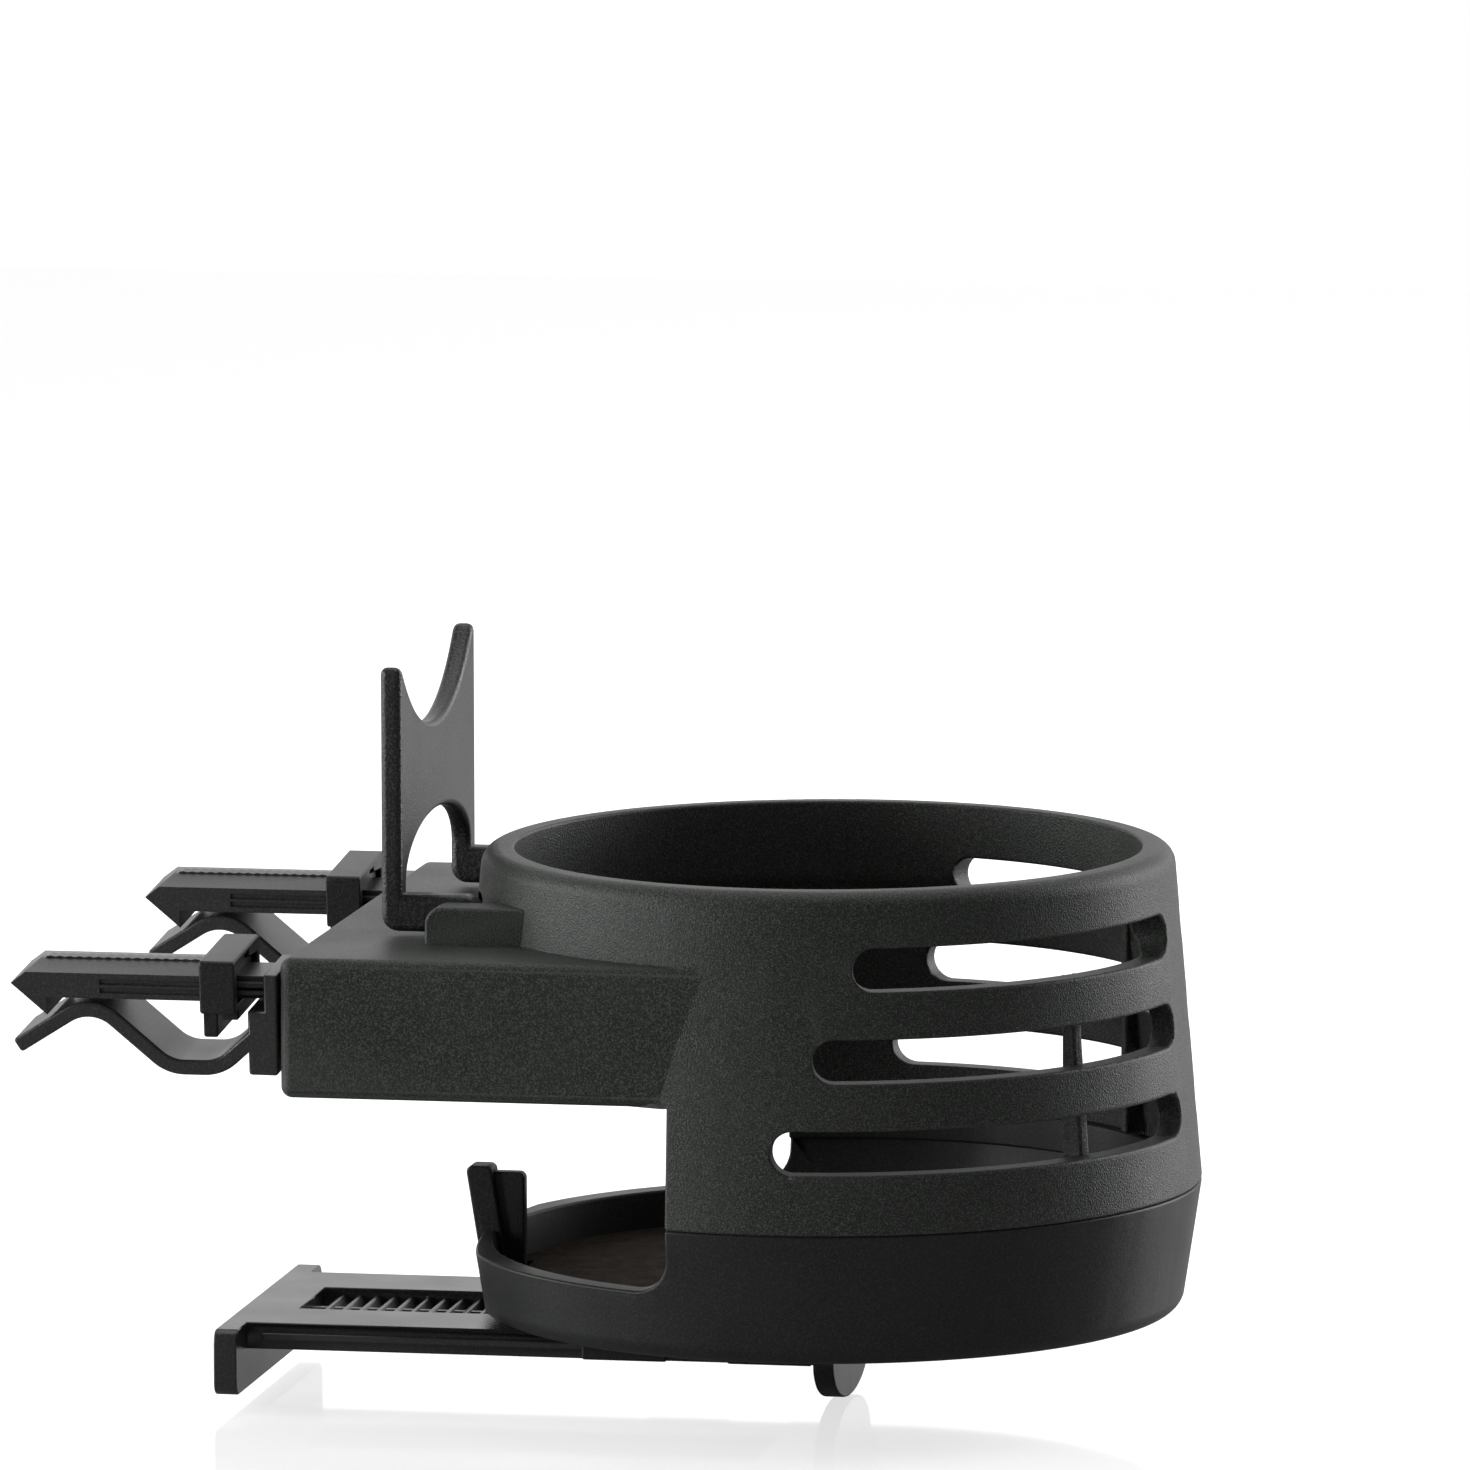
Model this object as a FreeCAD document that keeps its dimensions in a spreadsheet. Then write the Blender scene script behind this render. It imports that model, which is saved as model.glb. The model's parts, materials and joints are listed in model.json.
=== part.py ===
"""Cup holder for a car's air vent, with a bottle flap and a pull-out support foot.

Lengths are in millimetres and angles in degrees. The origin is the centre of the cup's
opening, in the plane of its rim. X points from the vent hooks to the cup, Y to the right
hand of someone who faces the vent, and Z up.
"""
import FreeCAD, Part
import math
import os
from FreeCAD import Placement, Rotation, Vector

# Driving dimensions
DIMENSIONS = {
    # Cup wall
    "rim_radius": 42.4,
    "seam_radius": 45.9,
    "shell_height": 41.1,
    "bore_radius": 38.5,
    "bore_depth": 9.0,
    "bore_flare": 3.0,
    "wall": 3.1,
    "rim_round": 2.3,
    # Slots through the cup wall
    "slot_height": 5.2,
    "slot_pitch": 10.95,
    "first_slot_depth": 9.3,
    "slot_start_angle": 10.9,
    "first_slot_end_angle": 72.5,
    "slot_end_step_angle": 6.5,
    # Ribs inside the cup wall
    "rib_angle": 34.0,
    "rib_thickness": 1.6,
    "rib_inner_radius": 39.9,
    # Arm that carries the vent clips
    "arm_reach": 59.75,
    "arm_half_width": 42.6,
    "arm_top": 9.4,
    "arm_bottom": 26.5,
    "arm_wall": 2.4,
    "arm_side_wall": 1.8,
    "arm_roof": 2.2,
    "arm_edge_round": 1.4,
    "handle_edge": 12.2,
    # Cover under the arm, its posts and screws
    "cover_thickness": 2.0,
    "cover_gap": 0.2,
    "post_radius": 3.0,
    "back_post_inset": 7.75,
    "back_post_side": 12.0,
    "front_post_gap": 3.35,
    "front_post_angle": 41.3,
    "screw_radius": 1.25,
    "screw_head_radius": 2.3,
    "screw_head_height": 1.2,
    "screw_length": 9.0,
    "screw_clearance": 0.05,
    # Bottle flap, its ears and pins
    "flap_half_width": 22.7,
    "flap_back": 51.3,
    "flap_thickness": 2.6,
    "flap_top": 23.55,
    "notch_radius": 29.0,
    "notch_bottom": 14.3,
    "flap_arm_thickness": 3.4,
    "arch_top": 2.9,
    "arch_round": 11.0,
    "flap_round": 2.0,
    "prong_round": 1.2,
    "hinge_back": 41.2,
    "hinge_depth": 6.5,
    "hinge_arm_radius": 2.3,
    "pin_radius": 1.0,
    "pin_clearance": 0.05,
    "pin_reach": 3.5,
    "side_clearance": 0.3,
    "ear_thickness": 5.0,
    "ear_back": 44.8,
    "ear_front": 34.0,
    "ear_top": 4.9,
    "ear_round": 2.1,
    # Base tray
    "tray_height": 16.2,
    "tray_draft": 2.5,
    "tray_wall": 3.0,
    "floor_thickness": 2.5,
    "tray_bottom_round": 2.6,
    "sill_drop": 7.85,
    "sill_round": 4.2,
    "lip_height": 2.2,
    "lip_thickness": 1.1,
    "lip_gap": 0.35,
    "rear_form_radius": 77.5,
    "rear_form_inset": 1.8,
    "rear_lean": 0.16,
    "stay_half_width": 1.9,
    "stay_inset": 0.6,
    "stay_rise": 0.2,
    "stay_thickness": 3.3,
    "stay_round": 0.8,
    "stay_rib_thickness": 2.0,
    "stay_rib_inset": 5.4,
    "stay_rib_drop": 0.6,
    # Mat in the tray
    "mat_thickness": 1.5,
    "mat_gap": 0.5,
    # Pull-out support foot and its guides
    "foot_drop": 1.0,
    "foot_thickness": 3.3,
    "foot_half_width": 18.5,
    "foot_front": 2.9,
    "foot_back": 72.1,
    "foot_end_thickness": 2.9,
    "foot_end_half_width": 25.0,
    "foot_end_height": 8.15,
    "foot_end_round": 1.6,
    "rack_half_width": 7.6,
    "rack_back": 65.1,
    "rack_front": 8.0,
    "tooth_pitch": 2.17,
    "tooth_thickness": 0.45,
    "tooth_slant": 1.1,
    "tooth_recess": 0.8,
    "rack_web_thickness": 1.1,
    "rack_web_recess": 1.1,
    "tongue_width": 1.3,
    "tongue_height": 0.9,
    "tongue_recess": 1.1,
    "tab_half_width": 13.2,
    "tab_depth": 5.8,
    "tab_drop": 4.2,
    "tab_thickness": 2.6,
    "running_gap": 0.3,
    "guide_length": 10.6,
    "guide_back": 26.9,
    "guide_spacing": 18.0,
    "guide_wall": 1.5,
    "guide_sole": 0.6,
    # Spring leaf that holds the foot
    "leaf_back": 34.0,
    "leaf_front": 19.0,
    "leaf_half_width": 4.0,
    "leaf_thickness": 0.5,
    "leaf_tip_drop": 0.45,
    "leaf_tip_length": 1.5,
    # Vent clips, from their swivel axis and the back of the arm
    "clip_inset": 6.1,
    "clip_depth": 17.55,
    "clip_twist": 5.5,
    "spigot_radius": 2.9,
    "spigot_clearance": 0.08,
    "spigot_length": 4.4,
    "clip_plate_back": 2.0,
    "clip_plate_gap": 0.3,
    "clip_half_width": 5.5,
    "clip_plate_top": 6.6,
    "block_back": 4.0,
    "block_top": 2.2,
    "block_bottom": 5.9,
    "jaw_thickness": 1.9,
    "jaw_root_back": 3.25,
    "jaw_root_drop": 1.2,
    "jaw_low_front": 7.65,
    "jaw_low_back": 13.85,
    "jaw_low_drop": 5.15,
    "jaw_crest_back": 23.25,
    "jaw_crest_rise": 2.95,
    "jaw_tip_back": 32.65,
    "jaw_tip_drop": 3.0,
    "jaw_low_round": 5.0,
    "jaw_crest_round": 5.0,
    "blade_tip_back": 33.25,
    "blade_tip_rise": 4.9,
    "blade_bottom": 3.2,
    "blade_shoulder": 6.3,
    "blade_ridge": 7.0,
    "blade_ridge_half_width": 0.9,
    "blade_front": 5.75,
    "nose_length": 2.8,
    "barb_front": 28.75,
    "barb_bottom": 1.0,
    "ratchet_height": 0.6,
    "ratchet_pitch": 1.2,
    "ratchet_back": 29.85,
    "groove_depth": 0.4,
    "groove_height": 0.6,
    "groove_back": 22.15,
    "shank_half_width": 3.5,
    "shank_fin": 1.0,
    "shank_fin_height": 0.6,
    "collar_back": 9.45,
    "collar_front": 5.05,
    "collar_half_width": 7.4,
    "collar_top": 8.6,
    "collar_bottom": 2.0,
    "collar_round": 0.6,
    "collar_leg": 1.8,
    "collar_leg_drop": 1.3,
    "collar_heel_gap": 0.4,
    "collar_heel_rise": 0.9,
    "collar_leg_half_width": 5.5,
    "cone_washer_radius": 4.0,
    "cone_washer_thickness": 0.5,
    "washer_radius": 3.9,
    "washer_thickness": 0.8,
    "clip_screw_head_radius": 2.6,
    "clip_screw_head_height": 1.6,
    "clip_screw_length": 5.0,
}

SLOT_COUNT = 3
LEFT = -1
RIGHT = 1
FULL_TURN = 360

os.makedirs("parts", exist_ok=True)
doc = FreeCAD.newDocument("VentCupHolder")
sheet = doc.addObject("Spreadsheet::Sheet", "Sizes")
for row, (dimension, number) in enumerate(DIMENSIONS.items(), 1):
    sheet.set(f"A{row}", dimension)
    sheet.set(f"B{row}", str(number))
    sheet.setAlias(f"B{row}", dimension)
doc.recompute()


class Size:
    """A number together with the sheet formula that gives it."""

    def __init__(self, number, formula):
        self.number = float(number)
        self.formula = formula

    def __float__(self):
        return self.number

    def __add__(self, other):
        other = size(other)
        return Size(self.number + other.number, f"({self.formula} + {other.formula})")

    def __sub__(self, other):
        other = size(other)
        return Size(self.number - other.number, f"({self.formula} - {other.formula})")

    def __mul__(self, other):
        other = size(other)
        return Size(self.number * other.number, f"({self.formula} * {other.formula})")

    def __truediv__(self, other):
        other = size(other)
        return Size(self.number / other.number, f"({self.formula} / {other.formula})")

    def __neg__(self):
        return Size(-self.number, f"(0 - {self.formula})")


def size(value):
    """Gives a plain number the same form as a size from the sheet."""
    if isinstance(value, Size):
        return value
    return Size(value, f"({value})")


def dim(name):
    """Reads one driving dimension from the sheet."""
    return Size(sheet.get(name), f"{sheet.Name}.{name}")


def cosine(angle):
    """Cosine of an angle in degrees."""
    return Size(math.cos(math.radians(angle.number)), f"cos({angle.formula})")


def sine(angle):
    """Sine of an angle in degrees."""
    return Size(math.sin(math.radians(angle.number)), f"sin({angle.formula})")


OVERCUT = size(5)


def bind(thing, path, value):
    """Ties a property of an object to a formula on the sheet."""
    thing.setExpression(path, size(value).formula)


def body(name):
    """Starts a sub-part."""
    part = doc.addObject("PartDesign::Body", name)
    part.Label = name
    return part


def origin_feature(part, role):
    """Finds a plane or axis of a sub-part's own origin."""
    return next(item for item in part.Origin.OriginFeatures if item.Role == role)


def sketch_on(part, name, plane, shift=0, across=0, turn=0):
    """Attaches a sketch to a plane of the sub-part, moved along its normal if asked.

    On the XZ plane the normal points to -Y. across moves the sketch along its own X, and
    turn swings it about its own Y.
    """
    sketch = part.newObject("Sketcher::SketchObject", name)
    sketch.AttachmentSupport = (origin_feature(part, plane), [""])
    sketch.MapMode = "FlatFace"
    place = Vector(float(across), 0, float(shift))
    sketch.AttachmentOffset = Placement(place, Rotation(Vector(0, 1, 0), float(turn)))
    if isinstance(shift, Size):
        bind(sketch, "AttachmentOffset.Base.z", shift)
    if isinstance(across, Size):
        bind(sketch, "AttachmentOffset.Base.x", across)
    if isinstance(turn, Size):
        bind(sketch, "AttachmentOffset.Rotation.Angle", turn)
    return sketch


def add_outline(sketch, corners):
    """Draws a closed outline, with each corner held at its place by two dimensions."""
    import Sketcher
    points = [Vector(float(across), float(up), 0) for across, up in corners]
    count = len(points)
    first = sketch.GeometryCount
    for index in range(count):
        sketch.addGeometry(Part.LineSegment(points[index], points[(index + 1) % count]), False)
    for index in range(count):
        following = first + (index + 1) % count
        sketch.addConstraint(Sketcher.Constraint("Coincident", first + index, 2, following, 1))
    for index, corner in enumerate(corners):
        for kind, value in zip(("DistanceX", "DistanceY"), corner):
            constraint = Sketcher.Constraint(kind, -1, 1, first + index, 1, float(value))
            number = sketch.addConstraint(constraint)
            sketch.setExpression(f"Constraints[{number}]", size(value).formula)


def add_circle(sketch, across, up, radius):
    """Draws a circle with its centre and radius held by dimensions."""
    import Sketcher
    centre = Vector(float(across), float(up), 0)
    circle = sketch.addGeometry(Part.Circle(centre, Vector(0, 0, 1), float(radius)), False)
    for kind, value in (("DistanceX", across), ("DistanceY", up)):
        number = sketch.addConstraint(Sketcher.Constraint(kind, -1, 1, circle, 3, float(value)))
        sketch.setExpression(f"Constraints[{number}]", size(value).formula)
    number = sketch.addConstraint(Sketcher.Constraint("Radius", circle, float(radius)))
    sketch.setExpression(f"Constraints[{number}]", size(radius).formula)


def rectangle(low_across, low_up, high_across, high_up):
    """Lists the corners of a rectangle."""
    return [
        (low_across, low_up),
        (high_across, low_up),
        (high_across, high_up),
        (low_across, high_up),
    ]


def sweep(part, kind, name, sketch, length, symmetric=False, backwards=False):
    """Pads or pockets a sketch by a length, and says so if nothing changed."""
    before = part.Shape.Volume if part.Tip else 0.0
    feature = part.newObject(f"PartDesign::{kind}", name)
    feature.Profile = sketch
    feature.Length = float(length)
    bind(feature, "Length", length)
    if symmetric:
        feature.SideType = "Symmetric"
    feature.Reversed = backwards
    doc.recompute()
    if abs(part.Shape.Volume - before) < 1e-3:
        raise RuntimeError(f"{name} changes nothing in {part.Label}")
    return feature


def spin(part, kind, name, sketch, angle=FULL_TURN):
    """Turns a sketch about its own upright axis, to add or remove material."""
    before = part.Shape.Volume if part.Tip else 0.0
    feature = part.newObject(f"PartDesign::{kind}", name)
    feature.Profile = sketch
    feature.ReferenceAxis = (sketch, ["V_Axis"])
    feature.Angle = float(angle)
    if isinstance(angle, Size):
        bind(feature, "Angle", angle)
    doc.recompute()
    if abs(part.Shape.Volume - before) < 1e-3:
        raise RuntimeError(f"{name} changes nothing in {part.Label}")
    return feature


def round_edges(part, name, radius, wanted):
    """Rounds the edges of the sub-part so far that pass a test."""
    base = part.Tip
    names = [f"Edge{i}" for i, edge in enumerate(base.Shape.Edges, 1) if wanted(edge)]
    if not names:
        raise RuntimeError(f"{name} finds no edge in {part.Label}")
    feature = part.newObject("PartDesign::Fillet", name)
    feature.Base = (base, names)
    feature.Radius = float(radius)
    bind(feature, "Radius", radius)
    doc.recompute()
    return feature


def is_curve(edge, kind):
    """Tells whether an edge lies on a curve of one kind."""
    return not edge.Degenerated and edge.Curve.TypeId == f"Part::Geom{kind}"


def runs_along(edge, direction):
    """Tells whether an edge is straight and parallel to a direction."""
    if not is_curve(edge, "Line"):
        return False
    return abs(abs(edge.tangentAt(edge.FirstParameter).dot(direction)) - 1) < 1e-4


def near(value, target, slack=0.05):
    """Tells whether a coordinate is at a target."""
    return abs(value - float(target)) < slack


X_WAY = Vector(1, 0, 0)
Y_WAY = Vector(0, 1, 0)
Z_WAY = Vector(0, 0, 1)

wall_slope = (dim("seam_radius") - dim("rim_radius")) / dim("shell_height")


def outer_radius(depth):
    """Outer radius of the cup wall at a depth below the rim."""
    return dim("rim_radius") + wall_slope * depth


hinge_gap = dim("side_clearance")
ear_inside = dim("flap_half_width") + hinge_gap
cover_top = dim("arm_bottom") - dim("cover_thickness")
post_distance = dim("seam_radius") + dim("front_post_gap")
post_places = [
    (across, up * side)
    for across, up in (
        (dim("back_post_inset") - dim("arm_reach"), dim("back_post_side")),
        (-post_distance * cosine(dim("front_post_angle")),
         post_distance * sine(dim("front_post_angle"))),
    )
    for side in (LEFT, RIGHT)
]
tray_bottom = dim("shell_height") + dim("tray_height")
tray_bottom_radius = dim("seam_radius") - dim("tray_draft")
stay_rib_front = tray_bottom_radius - dim("stay_rib_inset")
foot_top = tray_bottom + dim("foot_drop")
clip_side = dim("arm_half_width") - dim("clip_inset")


def shell_arm(part):
    """Hollow box that reaches back to the vent, open below."""
    half = dim("arm_half_width")
    inside = half - dim("arm_side_wall")
    block = sketch_on(part, "ArmOutline", "XY_Plane", -dim("arm_bottom"))
    add_outline(block, rectangle(-dim("arm_reach"), -half, -2.0, half))
    sweep(part, "Pad", "Arm", block, dim("arm_bottom") - dim("arm_top"))
    outer = (-dim("arm_reach"), dim("arm_top"), dim("arm_bottom"), half)
    round_edges(part, "ArmRound", dim("arm_edge_round"), lambda edge: is_arm_edge(edge, outer))
    hollow = sketch_on(part, "HollowOutline", "XY_Plane", -dim("arm_bottom"))
    add_outline(hollow, rectangle(dim("arm_wall") - dim("arm_reach"), -inside, -2.0, inside))
    depth = dim("arm_bottom") - dim("arm_top") - dim("arm_roof")
    sweep(part, "Pocket", "Hollow", hollow, depth, backwards=True)
    posts = sketch_on(part, "PostOutlines", "XY_Plane", -cover_top)
    for across, up in post_places:
        add_circle(posts, across, up, dim("post_radius"))
    sweep(part, "Pad", "Posts", posts, cover_top - dim("arm_top") - dim("arm_roof") / 2)


def is_arm_edge(edge, outer):
    """Picks the outer edges of the arm: its back, and the long ones along its sides."""
    back, top, bottom, half = outer
    middle = edge.CenterOfMass
    at_back = near(middle.x, back)
    at_side = near(abs(middle.y), half) and runs_along(edge, X_WAY)
    return at_back or (at_side and (near(middle.z, -top) or near(middle.z, -bottom)))


def shell_cup(part):
    """Flared ring of the cup with its straight bore at the rim."""
    height = dim("shell_height")
    seam = dim("seam_radius")
    solid = sketch_on(part, "CupOutline", "XZ_Plane")
    add_outline(solid, [(0, 0), (dim("rim_radius"), 0), (seam, -height), (0, -height)])
    spin(part, "Revolution", "Cup", solid)
    flare_depth = dim("bore_depth") + dim("bore_flare")
    flare_radius = outer_radius(flare_depth) - dim("wall")
    inside = seam - dim("wall")
    opening = sketch_on(part, "BoreOutline", "XZ_Plane")
    add_outline(opening, [
        (0, OVERCUT),
        (dim("bore_radius"), OVERCUT),
        (dim("bore_radius"), -dim("bore_depth")),
        (flare_radius, -flare_depth),
        (inside, -height),
        (inside, -height - OVERCUT),
        (0, -height - OVERCUT),
    ])
    spin(part, "Groove", "Bore", opening)
    rim = float(dim("rim_radius"))
    round_edges(part, "RimRound", dim("rim_round"), lambda edge: (
        is_curve(edge, "Circle") and near(edge.Curve.Radius, rim)
        and near(edge.Curve.Center.z, 0)))


def shell_handle_openings(part):
    """Removes the wall behind the handle edges, so that a mug's handle fits."""
    sketch = sketch_on(part, "HandleOutline", "XZ_Plane")
    low = -dim("shell_height") - OVERCUT
    back = -dim("seam_radius") - OVERCUT
    add_outline(sketch, rectangle(back, low, -dim("handle_edge"), -dim("arm_bottom")))
    sweep(part, "Pocket", "HandleOpenings", sketch, dim("seam_radius") * 3, symmetric=True)


def shell_slots(part):
    """Cuts three slots with round ends through the wall on each side."""
    half = dim("slot_height") / 2
    for index in range(SLOT_COUNT):
        middle = -dim("first_slot_depth") - dim("slot_pitch") * index
        first = dim("slot_start_angle")
        last = dim("first_slot_end_angle") + dim("slot_end_step_angle") * index
        for side in (LEFT, RIGHT):
            name = f"Slot{index + 1}{'Left' if side == LEFT else 'Right'}"
            start = first if side == RIGHT else -last
            run = sketch_on(part, name + "Outline", "XZ_Plane", turn=start)
            add_outline(run, rectangle(dim("bore_radius") - OVERCUT, middle - half,
                                       dim("seam_radius") + OVERCUT, middle + half))
            spin(part, "Groove", name, run, last - first)
            for end, angle in (("Front", first * side), ("Back", last * side)):
                tip = sketch_on(part, f"{name}{end}Outline", "YZ_Plane", turn=angle)
                add_circle(tip, 0, middle, half)
                length = dim("seam_radius") + OVERCUT
                sweep(part, "Pocket", f"{name}{end}", tip, length, backwards=True)


def shell_ribs(part):
    """Adds an upright rib inside the wall on each side of the front."""
    half = dim("rib_thickness") / 2
    low = dim("shell_height") - dim("lip_height") - dim("running_gap")
    high = dim("bore_depth") + dim("bore_flare")
    for side in (LEFT, RIGHT):
        name = f"Rib{'Left' if side == LEFT else 'Right'}"
        sketch = sketch_on(part, name + "Outline", "XZ_Plane", turn=dim("rib_angle") * side)
        inner_low = outer_radius(low) - dim("wall")
        inner_high = outer_radius(high) - dim("wall")
        add_outline(sketch, [
            (dim("rib_inner_radius"), -low),
            (inner_low + 1, -low),
            (inner_high + 1, -high),
            (dim("rib_inner_radius"), -high),
        ])
        sweep(part, "Pad", name, sketch, half * 2, symmetric=True)


def shell_ears(part):
    """Adds the two ears, with a blind hole in each for a pin of the flap."""
    for side in (LEFT, RIGHT):
        name = f"Ear{'Left' if side == LEFT else 'Right'}"
        start = -ear_inside if side == RIGHT else ear_inside
        sketch = sketch_on(part, name + "Outline", "XZ_Plane", start)
        low = -dim("arm_top") - dim("arm_roof") / 2
        add_outline(sketch, rectangle(-dim("ear_back"), low, -dim("ear_front"), -dim("ear_top")))
        sweep(part, "Pad", name, sketch, dim("ear_thickness"), backwards=side == RIGHT)
    back = dim("ear_back")
    top = dim("ear_top")
    round_edges(part, "EarRound", dim("ear_round"), lambda edge: (
        runs_along(edge, Y_WAY) and near(edge.CenterOfMass.x, -back)
        and near(edge.CenterOfMass.z, -top)))
    holes = sketch_on(part, "PinHoleOutline", "XZ_Plane")
    radius = dim("pin_radius") + dim("pin_clearance")
    add_circle(holes, -dim("hinge_back"), -dim("hinge_depth"), radius)
    depth = ear_inside + dim("pin_reach") + hinge_gap
    sweep(part, "Pocket", "PinHoles", holes, depth * 2, symmetric=True)


def shell_bores(part):
    """Drills the posts for the cover's screws and the back wall for the clips."""
    pilots = sketch_on(part, "PilotOutlines", "XY_Plane", -cover_top)
    for across, up in post_places:
        add_circle(pilots, across, up, dim("screw_radius") + dim("screw_clearance"))
    sweep(part, "Pocket", "Pilots", pilots, dim("screw_length"), backwards=True)
    holes = sketch_on(part, "SpigotHoleOutlines", "YZ_Plane", -dim("arm_reach"))
    radius = dim("spigot_radius") + dim("spigot_clearance")
    for side in (LEFT, RIGHT):
        add_circle(holes, clip_side * side, -dim("clip_depth"), radius)
    sweep(part, "Pocket", "SpigotHoles", holes, dim("arm_wall"), backwards=True)


def make_cup_shell():
    """The upper moulding: cup ring, arm and ears in one piece."""
    part = body("cup_shell")
    shell_arm(part)
    shell_cup(part)
    shell_handle_openings(part)
    shell_slots(part)
    shell_ribs(part)
    shell_ears(part)
    shell_bores(part)
    return part


def make_arm_cover():
    """Plate that closes the arm from below, with a round recess for each screw head."""
    part = body("arm_cover")
    gap = dim("cover_gap")
    half = dim("arm_half_width") - dim("arm_side_wall") - gap
    back = dim("arm_wall") + gap - dim("arm_reach")
    plate = sketch_on(part, "PlateOutline", "XY_Plane", -dim("arm_bottom"))
    add_outline(plate, rectangle(back, -half, -dim("handle_edge"), half))
    sweep(part, "Pad", "Plate", plate, dim("cover_thickness"))
    cup = sketch_on(part, "CupClearance", "XY_Plane", -dim("arm_bottom") - 1)
    add_circle(cup, 0, 0, outer_radius(dim("arm_bottom")) + gap)
    sweep(part, "Pocket", "CupSide", cup, dim("cover_thickness") + 2, backwards=True)
    heads = sketch_on(part, "HeadOutlines", "XY_Plane", -dim("arm_bottom"))
    shanks = sketch_on(part, "ShankOutlines", "XY_Plane", -dim("arm_bottom"))
    for across, up in post_places:
        add_circle(heads, across, up, dim("screw_head_radius") + gap)
        add_circle(shanks, across, up, dim("screw_radius") + gap)
    sweep(part, "Pocket", "HeadRecesses", heads, dim("screw_head_height"), backwards=True)
    sweep(part, "Pocket", "ShankHoles", shanks, dim("cover_thickness"), backwards=True)
    return part


def make_cover_screws():
    """Four screws from below, with their heads in the cover's recesses."""
    pieces = []
    low = -dim("arm_bottom")
    for index, (across, up) in enumerate(post_places, 1):
        head = doc.addObject("Part::Cylinder", f"ScrewHead{index}")
        bind(head, "Radius", dim("screw_head_radius"))
        bind(head, "Height", dim("screw_head_height"))
        shank = doc.addObject("Part::Cylinder", f"ScrewShank{index}")
        bind(shank, "Radius", dim("screw_radius"))
        bind(shank, "Height", dim("screw_length"))
        for piece, start in ((head, low), (shank, low + dim("screw_head_height") / 2)):
            bind(piece, "Placement.Base.x", across)
            bind(piece, "Placement.Base.y", up)
            bind(piece, "Placement.Base.z", start)
        screw = doc.addObject("Part::MultiFuse", f"CoverScrew{index}")
        screw.Shapes = [head, shank]
        pieces.append(screw)
    group = doc.addObject("Part::Compound", "cover_screws")
    group.Links = pieces
    group.Label = "cover_screws"
    doc.recompute()
    return group


def tray_wall(part):
    """Flared tray with a flat floor, and the lip that centres it in the cup ring."""
    top = dim("shell_height")
    bottom = tray_bottom
    low_radius = tray_bottom_radius
    wall = dim("tray_wall")
    floor = bottom - dim("floor_thickness")
    solid = sketch_on(part, "TrayOutline", "XZ_Plane")
    add_outline(solid, [(0, -bottom), (low_radius, -bottom), (dim("seam_radius"), -top), (0, -top)])
    spin(part, "Revolution", "Tray", solid)
    round_edges(part, "TrayRound", dim("tray_bottom_round"), lambda edge: (
        is_curve(edge, "Circle") and near(edge.Curve.Center.z, -bottom)))
    inside = sketch_on(part, "InsideOutline", "XZ_Plane")
    add_outline(inside, [
        (0, -floor),
        (low_radius - wall, -floor),
        (dim("seam_radius") - wall, -top),
        (dim("seam_radius") - wall, OVERCUT - top),
        (0, OVERCUT - top),
    ])
    spin(part, "Groove", "Inside", inside)
    lip_outer = dim("seam_radius") - dim("wall") - dim("lip_gap")
    lip = sketch_on(part, "LipOutline", "XZ_Plane")
    add_outline(lip, [
        (lip_outer - dim("lip_thickness"), -top - dim("lip_height")),
        (dim("seam_radius") - wall + 0.5, -top - dim("lip_height")),
        (dim("seam_radius") - wall + 0.5, -top),
        (lip_outer, -top),
        (lip_outer, dim("lip_height") - top),
        (lip_outer - dim("lip_thickness"), dim("lip_height") - top),
    ])
    spin(part, "Revolution", "Lip", lip)


def tray_sills(part):
    """Lowers the wall behind the handle edges, with rounded corners."""
    sketch = sketch_on(part, "SillOutline", "XZ_Plane")
    high = dim("lip_height") - dim("shell_height") + OVERCUT
    back = -dim("seam_radius") - OVERCUT
    sill = -dim("shell_height") - dim("sill_drop")
    add_outline(sketch, rectangle(back, sill, -dim("handle_edge"), high))
    sweep(part, "Pocket", "Sills", sketch, dim("seam_radius") * 3, symmetric=True)
    round_edges(part, "SillRound", dim("sill_round"), lambda edge: (
        runs_along(edge, Y_WAY) and near(edge.CenterOfMass.x, -dim("handle_edge"))
        and near(edge.CenterOfMass.z, sill)))


def tray_back(part):
    """Flattens the back of the tray to a wider curve that leans inwards."""
    top = dim("shell_height")
    low = tray_bottom + OVERCUT
    form = dim("rear_form_radius")
    axis = form + dim("rear_form_inset") - dim("seam_radius")
    outside = sketch_on(part, "RearFormOutline", "XZ_Plane", across=axis)
    add_outline(outside, [
        (form, OVERCUT - top),
        (form, -top),
        (form - dim("rear_lean") * (low - top), -low),
        (form * 2, -low),
        (form * 2, OVERCUT - top),
    ])
    spin(part, "Groove", "RearForm", outside)


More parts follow.
